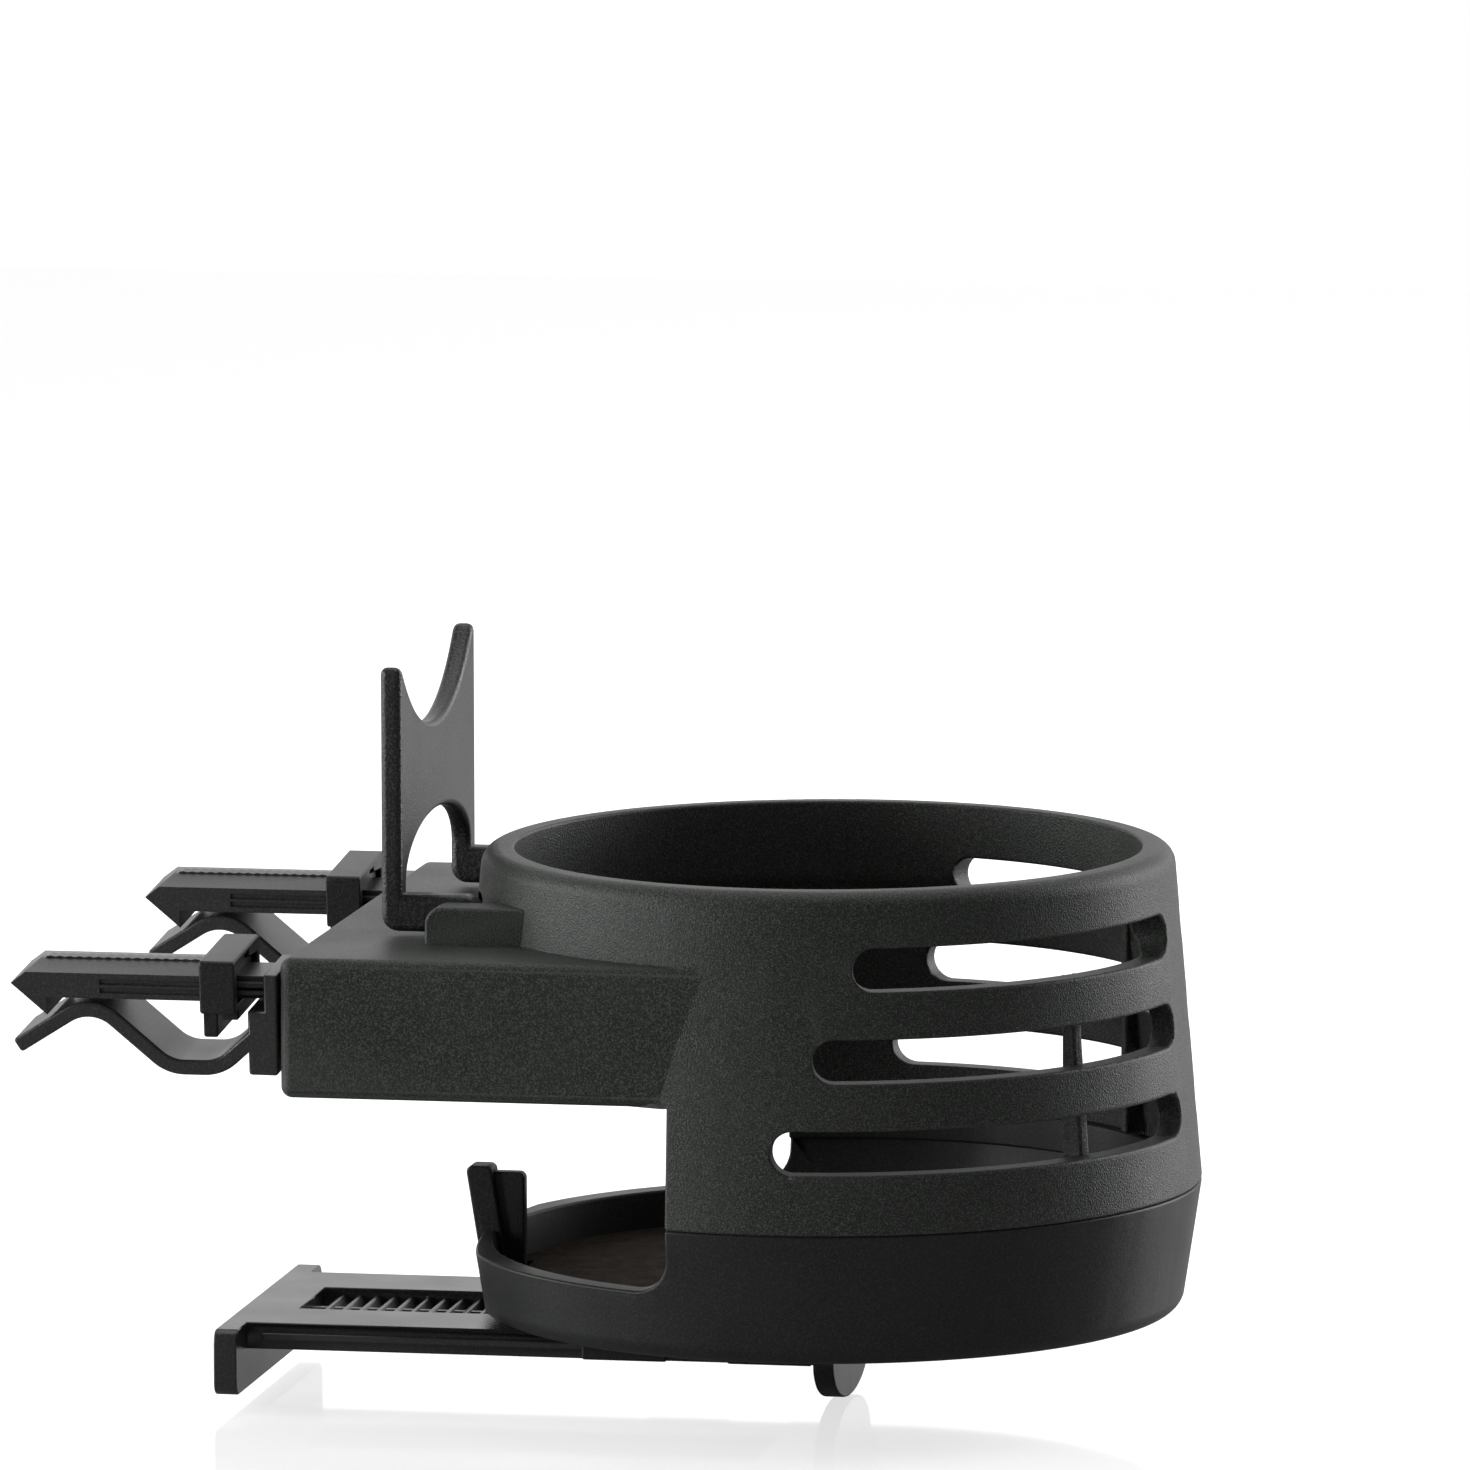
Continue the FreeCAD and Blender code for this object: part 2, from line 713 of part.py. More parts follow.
def tray_stay(part):
    """Narrow leaning post with a rib at the back, which keeps a small can from tipping."""
    top = dim("stay_rise") - dim("shell_height")
    back = dim("stay_inset") - dim("seam_radius")
    floor = -tray_bottom + dim("floor_thickness") / 2
    shift = dim("rear_lean") * (top - floor)
    post = sketch_on(part, "StayOutline", "XZ_Plane")
    add_outline(post, [
        (back, top),
        (back + shift, floor),
        (back + shift + dim("stay_thickness"), floor),
        (back + dim("stay_thickness"), top),
    ])
    sweep(part, "Pad", "Stay", post, dim("stay_half_width") * 2, symmetric=True)
    rib_top = -dim("shell_height") - dim("stay_rib_drop")
    rib_back = back + dim("stay_thickness") / 2
    rib = sketch_on(part, "StayRibOutline", "XZ_Plane")
    add_outline(rib, [
        (rib_back, rib_top),
        (rib_back + shift, floor),
        (-stay_rib_front, floor),
        (-stay_rib_front, rib_top),
    ])
    sweep(part, "Pad", "StayRib", rib, dim("stay_rib_thickness"), symmetric=True)
    round_edges(part, "StayRound", dim("stay_round"), lambda edge: (
        runs_along(edge, Y_WAY)
        and (near(edge.CenterOfMass.z, top)
             or (near(edge.CenterOfMass.z, rib_top) and near(edge.CenterOfMass.x, -stay_rib_front)))))


tongue_outside = dim("foot_half_width") + dim("tongue_width")
tongue_top = foot_top + dim("tongue_recess")
tongue_bottom = tongue_top + dim("tongue_height")


def tray_guides(part):
    """Four grooved guides under the floor, in which the foot's tongues run."""
    gap = dim("running_gap")
    floor = tray_bottom - dim("floor_thickness") / 2
    inside = dim("foot_half_width") + gap
    groove = tongue_outside + gap
    outside = groove + dim("guide_wall")
    sole = tongue_bottom + gap + dim("guide_sole")
    for index in range(2):
        start = dim("guide_spacing") * index - dim("guide_back")
        for side in (LEFT, RIGHT):
            name = f"Guide{index + 1}{'Left' if side == LEFT else 'Right'}"
            sketch = sketch_on(part, name + "Outline", "YZ_Plane", start)
            add_outline(sketch, [(across * side, -up) for across, up in (
                (inside, floor),
                (outside, floor),
                (outside, sole),
                (inside, sole),
                (inside, tongue_bottom + gap),
                (groove, tongue_bottom + gap),
                (groove, tongue_top - gap),
                (inside, tongue_top - gap),
            )])
            sweep(part, "Pad", name, sketch, dim("guide_length"))


def make_base_tray():
    """The lower moulding: tray, rear stay and the foot's guides in one piece."""
    part = body("base_tray")
    tray_wall(part)
    tray_sills(part)
    tray_back(part)
    tray_stay(part)
    tray_guides(part)
    return part


def make_base_mat():
    """Soft round mat on the floor, cut back round the stay."""
    part = body("base_mat")
    floor = tray_bottom - dim("floor_thickness")
    gap = dim("mat_gap")
    disc = sketch_on(part, "DiscOutline", "XY_Plane", -floor)
    add_circle(disc, 0, 0, tray_bottom_radius - dim("tray_wall") - gap)
    sweep(part, "Pad", "Disc", disc, dim("mat_thickness"))
    notch = sketch_on(part, "NotchOutline", "XY_Plane", -floor)
    side = dim("stay_half_width") + gap
    add_outline(notch, rectangle(-dim("seam_radius"), -side, gap - stay_rib_front, side))
    sweep(part, "Pocket", "Notch", notch, dim("mat_thickness"), backwards=True)
    return part


def foot_plate(part):
    """Flat slide with a tongue along each side and a deep rounded end."""
    top = foot_top
    bottom = top + dim("foot_thickness")
    half = dim("foot_half_width")
    front = dim("foot_front")
    back = dim("foot_end_thickness") - dim("foot_back")
    end = sketch_on(part, "EndOutline", "YZ_Plane", -dim("foot_back"))
    wide = dim("foot_end_half_width")
    add_outline(end, rectangle(-wide, -top - dim("foot_end_height"), wide, -top))
    sweep(part, "Pad", "End", end, dim("foot_end_thickness"))
    round_edges(part, "EndRound", dim("foot_end_round"), lambda edge: runs_along(edge, X_WAY))
    plate = sketch_on(part, "SlideOutline", "XZ_Plane")
    add_outline(plate, rectangle(back, -bottom, front, -top))
    sweep(part, "Pad", "Slide", plate, half * 2, symmetric=True)
    tongues = sketch_on(part, "TongueOutline", "XZ_Plane")
    add_outline(tongues, rectangle(back + 2, -tongue_bottom, front, -tongue_top))
    sweep(part, "Pad", "Tongues", tongues, tongue_outside * 2, symmetric=True)


def foot_rack(part):
    """Opens the slide along its middle and fills the opening with slanted teeth."""
    top = foot_top
    bottom = top + dim("foot_thickness")
    half = dim("rack_half_width")
    opening = sketch_on(part, "RackOutline", "XY_Plane", -bottom)
    add_outline(opening, rectangle(-dim("rack_back"), -half, -dim("rack_front"), half))
    sweep(part, "Pocket", "RackOpening", opening, dim("foot_thickness"), backwards=True)
    web = sketch_on(part, "WebOutline", "XZ_Plane")
    web_top = top + dim("rack_web_recess")
    add_outline(web, rectangle(-dim("rack_back") - 1, -bottom, -dim("rack_front") + 1, -web_top))
    sweep(part, "Pad", "RackWeb", web, dim("rack_web_thickness"), symmetric=True)
    length = dim("rack_back") - dim("rack_front")
    count = int((float(length) - float(dim("tooth_slant"))) / float(dim("tooth_pitch")))
    first = dim("tooth_pitch") - dim("rack_back")
    tooth_top = top + dim("tooth_recess")
    tooth_bottom = bottom - dim("tooth_recess")
    thick = dim("tooth_thickness")
    slant = dim("tooth_slant")
    tooth = sketch_on(part, "ToothOutline", "XZ_Plane")
    add_outline(tooth, [
        (first, -tooth_top),
        (first + thick, -tooth_top),
        (first + thick + slant, -tooth_bottom),
        (first + slant, -tooth_bottom),
    ])
    pad = sweep(part, "Pad", "Tooth", tooth, half * 2 + 1, symmetric=True)
    row = part.newObject("PartDesign::LinearPattern", "ToothRow")
    row.Originals = [pad]
    row.Direction = (origin_feature(part, "X_Axis"), [""])
    row.Occurrences = count
    row.Length = float(dim("tooth_pitch")) * (count - 1)
    bind(row, "Length", dim("tooth_pitch") * (count - 1))
    part.Tip = row
    doc.recompute()


def make_support_foot():
    """Pull-out foot: toothed slide, end that meets the dashboard and a rounded finger tab."""
    part = body("FootBody")
    foot_plate(part)
    foot_rack(part)
    middle = foot_top + dim("tab_drop")
    disc = doc.addObject("Part::Ellipse", "TabEllipse")
    bind(disc, "MajorRadius", dim("tab_half_width"))
    bind(disc, "MinorRadius", dim("tab_depth"))
    lying = Rotation(Vector(0, 0, 1), 90) * Rotation(Vector(1, 0, 0), 90)
    disc.Placement = Placement(Vector(), lying)
    bind(disc, "Placement.Base.x", dim("foot_front") - dim("tab_thickness"))
    bind(disc, "Placement.Base.z", -middle)
    tab = doc.addObject("Part::Extrusion", "TabDisc")
    tab.Base = disc
    tab.DirMode = "Custom"
    tab.Dir = X_WAY
    tab.Solid = True
    bind(tab, "LengthFwd", dim("tab_thickness"))
    trim = doc.addObject("Part::Box", "TabTrim")
    depth = dim("tab_depth") + dim("tab_drop") - dim("foot_thickness") / 2
    bind(trim, "Length", dim("tab_thickness") * 3)
    bind(trim, "Width", dim("tab_half_width") * 2 + 2)
    bind(trim, "Height", depth + 1)
    bind(trim, "Placement.Base.x", dim("foot_front") - dim("tab_thickness") * 2)
    bind(trim, "Placement.Base.y", -dim("tab_half_width") - 1)
    bind(trim, "Placement.Base.z", -middle - dim("tab_depth") - 1)
    lower = doc.addObject("Part::MultiCommon", "TabLower")
    lower.Shapes = [tab, trim]
    foot = doc.addObject("Part::MultiFuse", "support_foot")
    foot.Shapes = [part, lower]
    foot.Label = "support_foot"
    doc.recompute()
    return foot


def make_latch_leaf():
    """Spring leaf under the floor, whose bent tip clicks over the foot's teeth."""
    part = body("latch_leaf")
    top = tray_bottom
    bottom = top + dim("leaf_thickness")
    tip = bottom + dim("leaf_tip_drop")
    back = dim("leaf_back")
    sketch = sketch_on(part, "LeafOutline", "XZ_Plane")
    add_outline(sketch, [
        (-back, -top),
        (-back, -bottom),
        (dim("leaf_tip_length") / 2 - back, -tip),
        (dim("leaf_tip_length") - back, -bottom),
        (-dim("leaf_front"), -bottom),
        (-dim("leaf_front"), -top),
    ])
    sweep(part, "Pad", "Leaf", sketch, dim("leaf_half_width") * 2, symmetric=True)
    return part


def make_bottle_flap():
    """Flap that folds over the cup, hollowed on top to the radius of a can."""
    part = body("bottle_flap")
    half = dim("flap_half_width")
    low = dim("hinge_depth") + dim("hinge_arm_radius")
    front = dim("flap_thickness") - dim("flap_back")
    plate = sketch_on(part, "PlateOutline", "YZ_Plane", -dim("flap_back"))
    add_outline(plate, rectangle(-half, -low, half, dim("flap_top")))
    sweep(part, "Pad", "Plate", plate, dim("flap_thickness"))
    notch = sketch_on(part, "NotchOutline", "YZ_Plane", -dim("flap_back"))
    add_circle(notch, 0, dim("notch_bottom") + dim("notch_radius"), dim("notch_radius"))
    sweep(part, "Pocket", "Notch", notch, dim("flap_thickness"), backwards=True)
    leg = half - dim("flap_arm_thickness")
    arch = sketch_on(part, "ArchOutline", "YZ_Plane", -dim("flap_back"))
    add_outline(arch, rectangle(-leg, -low - 1, leg, dim("arch_top")))
    sweep(part, "Pocket", "Arch", arch, dim("flap_thickness"), backwards=True)
    round_edges(part, "ArchRound", dim("arch_round"), lambda edge: (
        runs_along(edge, X_WAY) and near(edge.CenterOfMass.z, dim("arch_top"))))
    high = dim("hinge_depth") - dim("hinge_arm_radius")
    for side in (LEFT, RIGHT):
        name = f"Arm{'Left' if side == LEFT else 'Right'}"
        start = -leg if side == RIGHT else leg
        arm = sketch_on(part, name + "Outline", "XZ_Plane", start)
        add_outline(arm, rectangle(front - 1, -low, -dim("hinge_back"), -high))
        sweep(part, "Pad", name, arm, dim("flap_arm_thickness"), backwards=side == RIGHT)
        eye = sketch_on(part, name + "EyeOutline", "XZ_Plane", start)
        add_circle(eye, -dim("hinge_back"), -dim("hinge_depth"), dim("hinge_arm_radius"))
        sweep(part, "Pad", name + "Eye", eye, dim("flap_arm_thickness"), backwards=side == RIGHT)
    holes = sketch_on(part, "PinHoleOutline", "XZ_Plane")
    radius = dim("pin_radius") + dim("pin_clearance")
    add_circle(holes, -dim("hinge_back"), -dim("hinge_depth"), radius)
    sweep(part, "Pocket", "PinHoles", holes, half * 3, symmetric=True)
    corners = (-dim("flap_back"), -low)
    round_edges(part, "CornerRound", dim("flap_round"), lambda edge: (
        runs_along(edge, Y_WAY) and near(edge.CenterOfMass.x, corners[0])
        and near(edge.CenterOfMass.z, corners[1])))
    round_edges(part, "ProngRound", dim("prong_round"), lambda edge: (
        runs_along(edge, Y_WAY) and near(edge.CenterOfMass.z, dim("flap_top"))))
    return part


def make_flap_pins():
    """One short steel pin on each side, through the flap's arm and into the ear."""
    pieces = []
    inside = dim("flap_half_width") - dim("flap_arm_thickness")
    outside = ear_inside + dim("pin_reach")
    for side in (LEFT, RIGHT):
        pin = doc.addObject("Part::Cylinder", f"FlapPin{'Left' if side == LEFT else 'Right'}")
        pin.Placement = Placement(Vector(), Rotation(Vector(1, 0, 0), -90))
        bind(pin, "Radius", dim("pin_radius"))
        bind(pin, "Height", outside - inside)
        bind(pin, "Placement.Base.x", -dim("hinge_back"))
        bind(pin, "Placement.Base.y", inside if side == RIGHT else -outside)
        bind(pin, "Placement.Base.z", -dim("hinge_depth"))
        pieces.append(pin)
    group = doc.addObject("Part::Compound", "flap_pins")
    group.Links = pieces
    group.Label = "flap_pins"
    doc.recompute()
    return group


def place_on_swivel(thing, side):
    """Puts a clip piece on its swivel axis, turned by the clip's twist."""
    thing.Placement = Placement(Vector(), Rotation(X_WAY, float(dim("clip_twist"))))
    bind(thing, "Placement.Base.x", -dim("arm_reach"))
    bind(thing, "Placement.Base.y", clip_side * side)
    bind(thing, "Placement.Base.z", -dim("clip_depth"))
    bind(thing, "Placement.Rotation.Angle", dim("clip_twist"))
    return thing


def rounded_path(points, radii):
    """Joins points in the XZ plane by straight runs, with an arc at each inner corner."""
    edges = []
    start = points[0]
    for corner, following, radius in zip(points[1:-1], points[2:], radii):
        before = (start - corner).normalize()
        after = (following - corner).normalize()
        half_angle = before.getAngle(after) / 2
        reach = radius / math.tan(half_angle)
        middle_way = (before + after).normalize()
        arc_start = corner + before * reach
        arc_end = corner + after * reach
        centre = corner + middle_way * (radius / math.sin(half_angle))
        arc_middle = centre - middle_way * radius
        edges.append(Part.LineSegment(start, arc_start).toShape())
        edges.append(Part.Arc(arc_start, arc_middle, arc_end).toShape())
        start = arc_end
    edges.append(Part.LineSegment(start, points[-1]).toShape())
    return Part.Wire(edges)


def jaw_strip():
    """Springy lower jaw: a flat strip bent down, up to a crest and down to its tip."""
    points = [
        Vector(-float(dim("jaw_root_back")), 0, -float(dim("jaw_root_drop"))),
        Vector(-float(dim("jaw_low_front")), 0, -float(dim("jaw_low_drop"))),
        Vector(-float(dim("jaw_low_back")), 0, -float(dim("jaw_low_drop"))),
        Vector(-float(dim("jaw_crest_back")), 0, float(dim("jaw_crest_rise"))),
        Vector(-float(dim("jaw_tip_back")), 0, -float(dim("jaw_tip_drop"))),
    ]
    low = float(dim("jaw_low_round"))
    radii = [low, low, float(dim("jaw_crest_round"))]
    path = rounded_path(points, radii)
    half_width = float(dim("clip_half_width"))
    half_thickness = float(dim("jaw_thickness")) / 2
    along = (points[1] - points[0]).normalize()
    normal = Vector(-along.z, 0, along.x)
    across = Vector(0, half_width, 0)
    corners = [
        points[0] + normal * half_thickness + across,
        points[0] + normal * half_thickness - across,
        points[0] - normal * half_thickness - across,
        points[0] - normal * half_thickness + across,
    ]
    section = Part.makePolygon(corners + corners[:1])
    return path.makePipeShell([section], True, True)


def make_clip_base(prefix, side):
    """Swivelling base of a clip: spigot, plate, block and springy lower jaw."""
    part = body(prefix + "_base_core")
    half = dim("clip_half_width")
    block = sketch_on(part, "BlockOutline", "XZ_Plane")
    plate_front = -dim("clip_plate_gap")
    add_outline(block, [
        (-dim("block_back"), -dim("block_bottom")),
        (plate_front, -dim("block_bottom")),
        (plate_front, dim("clip_plate_top")),
        (-dim("clip_plate_back"), dim("clip_plate_top")),
        (-dim("clip_plate_back"), dim("block_top")),
        (-dim("block_back"), dim("block_top")),
    ])
    sweep(part, "Pad", "Block", block, half * 2, symmetric=True)
    spigot = sketch_on(part, "SpigotOutline", "YZ_Plane", -dim("clip_plate_back"))
    add_circle(spigot, 0, 0, dim("spigot_radius"))
    sweep(part, "Pad", "Spigot", spigot, dim("clip_plate_back") + dim("spigot_length"))
    pilot = sketch_on(part, "PilotOutline", "YZ_Plane", dim("spigot_length"))
    add_circle(pilot, 0, 0, dim("screw_radius") + dim("screw_clearance"))
    sweep(part, "Pocket", "Pilot", pilot, dim("clip_screw_length") + 0.5)
    jaw = doc.addObject("Part::Feature", prefix + "_jaw_strip")
    jaw.Shape = jaw_strip()
    clip = doc.addObject("Part::MultiFuse", prefix + "_base")
    clip.Shapes = [part, jaw]
    clip.Label = prefix + "_base"
    doc.recompute()
    return place_on_swivel(clip, side)


def blade_profile(part):
    """Side view of the upper blade, with its pointed nose and the barb behind it."""
    tip = dim("blade_tip_back")
    profile = sketch_on(part, "BladeOutline", "XZ_Plane")
    add_outline(profile, [
        (-tip, dim("blade_tip_rise")),
        (-dim("barb_front"), dim("barb_bottom")),
        (-dim("barb_front"), dim("blade_bottom")),
        (-dim("blade_front"), dim("blade_bottom")),
        (-dim("blade_front"), dim("blade_ridge")),
        (dim("nose_length") - tip, dim("blade_ridge")),
    ])
    sweep(part, "Pad", "Blade", profile, dim("clip_half_width") * 2, symmetric=True)
    slopes = sketch_on(part, "SlopeOutlines", "YZ_Plane", -tip)
    half = dim("clip_half_width")
    for side in (LEFT, RIGHT):
        add_outline(slopes, [
            (dim("blade_ridge_half_width") * side, dim("blade_ridge")),
            (half * side, dim("blade_shoulder")),
            ((half + 1) * side, dim("blade_shoulder")),
            ((half + 1) * side, dim("blade_ridge") + 1),
            (dim("blade_ridge_half_width") * side, dim("blade_ridge") + 1),
        ])
    sweep(part, "Pocket", "Slopes", slopes, tip - dim("blade_front"), backwards=True)


def blade_grooves(part):
    """Two shallow grooves along each side of the blade."""
    half = dim("clip_half_width")
    grooves = sketch_on(part, "GrooveOutlines", "YZ_Plane", -dim("groove_back"))
    third = (dim("blade_shoulder") - dim("blade_bottom")) / 3
    for side in (LEFT, RIGHT):
        for step in (1, 2):
            middle = dim("blade_bottom") + third * step
            low = middle - dim("groove_height") / 2
            high = middle + dim("groove_height") / 2
            inner = (half - dim("groove_depth")) * side
            outer = (half + 1) * side
            corners = rectangle(inner, low, outer, high)
            add_outline(grooves, corners)
    sweep(part, "Pocket", "Grooves", grooves, dim("groove_back") - dim("blade_front"), backwards=True)


def blade_ratchet(part):
    """Row of fine teeth along the ridge, which hold the collar where it is pushed."""
    pitch = dim("ratchet_pitch")
    start = -dim("ratchet_back")
    count = int((float(dim("ratchet_back")) - float(dim("blade_front"))) / float(pitch))
    tooth = sketch_on(part, "RatchetOutline", "XZ_Plane")
    add_outline(tooth, [
        (start, dim("blade_ridge") - 0.2),
        (start + pitch, dim("blade_ridge") - 0.2),
        (start + pitch, dim("blade_ridge") + dim("ratchet_height") / 2),
        (start + pitch / 2, dim("blade_ridge") + dim("ratchet_height")),
        (start, dim("blade_ridge") + dim("ratchet_height") / 2),
    ])
    width = dim("blade_ridge_half_width") * 2
    pad = sweep(part, "Pad", "RatchetTooth", tooth, width, symmetric=True)
    row = part.newObject("PartDesign::LinearPattern", "RatchetRow")
    row.Originals = [pad]
    row.Direction = (origin_feature(part, "X_Axis"), [""])
    row.Occurrences = count
    row.Length = float(pitch) * (count - 1)
    bind(row, "Length", pitch * (count - 1))
    part.Tip = row
    doc.recompute()


def make_clip_blade(prefix, side):
    """Upper blade of a clip, with the finned shank that plugs on to the base."""
    part = body(prefix + "_blade")
    blade_profile(part)
    blade_grooves(part)
    blade_ratchet(part)
    reach = dim("blade_front") - dim("clip_plate_back")
    shank = sketch_on(part, "ShankOutline", "YZ_Plane", -dim("blade_front"))
    half = dim("shank_half_width")
    top = dim("blade_shoulder") - dim("shank_fin_height") / 2
    add_outline(shank, rectangle(-half, dim("blade_bottom"), half, top))
    sweep(part, "Pad", "Shank", shank, reach)
    third = (top - dim("blade_bottom")) / 3
    fins = sketch_on(part, "FinOutlines", "YZ_Plane", -dim("blade_front"))
    for step in (1, 2):
        middle = dim("blade_bottom") + third * step
        low = middle - dim("shank_fin_height") / 2
        high = middle + dim("shank_fin_height") / 2
        wide = half + dim("shank_fin")
        add_outline(fins, rectangle(-wide, low, wide, high))
    sweep(part, "Pad", "Fins", fins, reach)
    return place_on_swivel(part, side)


def make_clip_collar(prefix, side):
    """Collar that slides along the blade and presses the jaw up with its legs."""
    part = body(prefix + "_collar")
    gap = dim("running_gap")
    half = dim("collar_half_width")
    length = dim("collar_back") - dim("collar_front")
    block = sketch_on(part, "BlockOutline", "YZ_Plane", -dim("collar_back"))
    add_outline(block, rectangle(-half, dim("collar_bottom"), half, dim("collar_top")))
    sweep(part, "Pad", "Block", block, length)
    round_edges(part, "BlockRound", dim("collar_round"), lambda edge: runs_along(edge, X_WAY))
    legs = sketch_on(part, "LegOutlines", "XZ_Plane")
    back = dim("collar_back")
    heel = dim("collar_leg") + dim("collar_heel_gap") - back
    join = dim("collar_bottom") + 0.4
    add_outline(legs, rectangle(-back, -dim("collar_leg_drop"), dim("collar_leg") - back, join))
    add_outline(legs, rectangle(heel, dim("collar_heel_rise"), -dim("collar_front"), join))
    sweep(part, "Pad", "Legs", legs, dim("collar_leg_half_width") * 2, symmetric=True)
    window = sketch_on(part, "WindowOutline", "YZ_Plane", -back)
    side_gap = dim("clip_half_width") + gap
    ridge_gap = dim("blade_ridge_half_width") + gap
    roof = dim("blade_ridge") + dim("ratchet_height") + gap
    add_outline(window, [
        (-side_gap, dim("blade_bottom") - gap),
        (side_gap, dim("blade_bottom") - gap),
        (side_gap, dim("blade_shoulder") + gap),
        (ridge_gap, dim("blade_ridge") + gap),
        (ridge_gap, roof),
        (-ridge_gap, roof),
        (-ridge_gap, dim("blade_ridge") + gap),
        (-side_gap, dim("blade_shoulder") + gap),
    ])
    sweep(part, "Pocket", "Window", window, length, backwards=True)
    return place_on_swivel(part, side)


def make_clip_cone_washer(prefix, side):
    """Sprung cone washer between the arm's back wall and the flat washer."""
    part = body(prefix + "_cone_washer")
    sketch = sketch_on(part, "ConeOutline", "XY_Plane")
    thick = dim("cone_washer_thickness")
    inner = dim("spigot_radius") + dim("spigot_clearance")
    outer = dim("cone_washer_radius")
    near_wall = dim("arm_wall") + dim("running_gap")
    near_washer = dim("spigot_length")
    add_outline(sketch, [
        (near_wall, outer),
        (near_wall + thick, outer),
        (near_washer, inner),
        (near_washer - thick, inner),
    ])
    ring = part.newObject("PartDesign::Revolution", "Cone")
    ring.Profile = sketch
    ring.ReferenceAxis = (sketch, ["H_Axis"])
    ring.Angle = FULL_TURN
    doc.recompute()
    return place_on_swivel(part, side)


def make_clip_washer(prefix, side):
    """Flat washer on the end of the spigot."""
    part = body(prefix + "_washer")
    sketch = sketch_on(part, "RingOutline", "YZ_Plane", dim("spigot_length"))
    add_circle(sketch, 0, 0, dim("washer_radius"))
    add_circle(sketch, 0, 0, dim("screw_radius") + dim("screw_clearance"))
    sweep(part, "Pad", "Ring", sketch, dim("washer_thickness"))
    return place_on_swivel(part, side)


def make_clip_screw(prefix, side):
    """Screw that holds the washer on the spigot."""
    part = body(prefix + "_screw")
    start = dim("washer_thickness") + dim("spigot_length")
    head = sketch_on(part, "HeadOutline", "YZ_Plane", start)
    add_circle(head, 0, 0, dim("clip_screw_head_radius"))
    sweep(part, "Pad", "Head", head, dim("clip_screw_head_height"))
    shank = sketch_on(part, "ShankOutline", "YZ_Plane", start)
    add_circle(shank, 0, 0, dim("screw_radius"))
    length = dim("clip_screw_length") + dim("washer_thickness")
    sweep(part, "Pad", "Shank", shank, length, backwards=True)
    return place_on_swivel(part, side)


def make_clip(prefix, side):
    """All pieces of one vent clip."""
    return [
        make_clip_base(prefix, side),
        make_clip_blade(prefix, side),
        make_clip_collar(prefix, side),
        make_clip_cone_washer(prefix, side),
        make_clip_washer(prefix, side),
        make_clip_screw(prefix, side),
    ]


sub_parts = [
    make_cup_shell(),
    make_arm_cover(),
    make_cover_screws(),
    make_base_tray(),
    make_base_mat(),
    make_support_foot(),
    make_latch_leaf(),
    make_bottle_flap(),
    make_flap_pins(),
]
sub_parts += make_clip("left_clip", LEFT)
sub_parts += make_clip("right_clip", RIGHT)
doc.recompute()

# Nothing is written unless every object of the document is sound.
for thing in doc.Objects:
    if "Invalid" in thing.State or "Error" in thing.State:
        raise RuntimeError(f"{thing.Label} failed: {thing.State}")
for thing in sub_parts:
    shape = thing.Shape
    if shape.isNull() or not shape.isValid():
        raise RuntimeError(f"{thing.Label} has no valid shape")

for thing in sub_parts:
    thing.Shape.exportStep(f"parts/{thing.Label}.step")
    print(f"{thing.Label}: {len(thing.Shape.Solids)} solid, {thing.Shape.Volume:.1f} mm3")
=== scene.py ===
# %% [markdown]
# # A vent cup holder in moulded black plastic
#
# This lesson dresses a cup holder that clips into a car's air vent. The frame holds
# every solid piece at its real size and place. Blender adds what moulded parts have and
# plain solids lack: edges rounded by the mould, pebbled grain, and a mat of short
# fibres. Lengths in the tables below are in millimetres, and the scene is in metres.

# %% Load the frame
import json
import math

import bmesh
import bpy
from mathutils import Matrix, Vector


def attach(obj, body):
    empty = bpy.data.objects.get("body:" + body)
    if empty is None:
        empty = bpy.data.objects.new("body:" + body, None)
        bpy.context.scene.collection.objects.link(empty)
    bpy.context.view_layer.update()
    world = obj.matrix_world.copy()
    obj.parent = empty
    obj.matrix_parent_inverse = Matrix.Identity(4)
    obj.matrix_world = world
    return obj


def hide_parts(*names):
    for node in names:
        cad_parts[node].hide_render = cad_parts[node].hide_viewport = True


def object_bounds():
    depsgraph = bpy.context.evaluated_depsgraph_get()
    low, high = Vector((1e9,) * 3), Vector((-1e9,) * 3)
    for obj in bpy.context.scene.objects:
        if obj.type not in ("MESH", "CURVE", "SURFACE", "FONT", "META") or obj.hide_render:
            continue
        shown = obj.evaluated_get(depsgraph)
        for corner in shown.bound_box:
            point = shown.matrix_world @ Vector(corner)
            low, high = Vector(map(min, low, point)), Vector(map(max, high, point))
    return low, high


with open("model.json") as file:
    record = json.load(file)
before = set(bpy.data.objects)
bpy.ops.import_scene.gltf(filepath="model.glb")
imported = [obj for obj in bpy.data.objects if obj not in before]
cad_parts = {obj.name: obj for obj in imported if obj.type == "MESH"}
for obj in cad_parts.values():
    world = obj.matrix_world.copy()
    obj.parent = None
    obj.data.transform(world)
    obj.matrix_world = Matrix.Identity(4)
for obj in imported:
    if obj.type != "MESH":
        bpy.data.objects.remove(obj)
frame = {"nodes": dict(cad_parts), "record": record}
cad_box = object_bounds()
MM = 0.001
print("CAD box, mm:", [[round(value / MM, 1) for value in corner] for corner in cad_box])

# %% [markdown]
# ## Sizes that the pieces share
#
# The cup ring flares by a few degrees, as a moulding must to leave its mould. The names
# and numbers are those of the solid model, so each dressed piece lies where its solid
# lies.

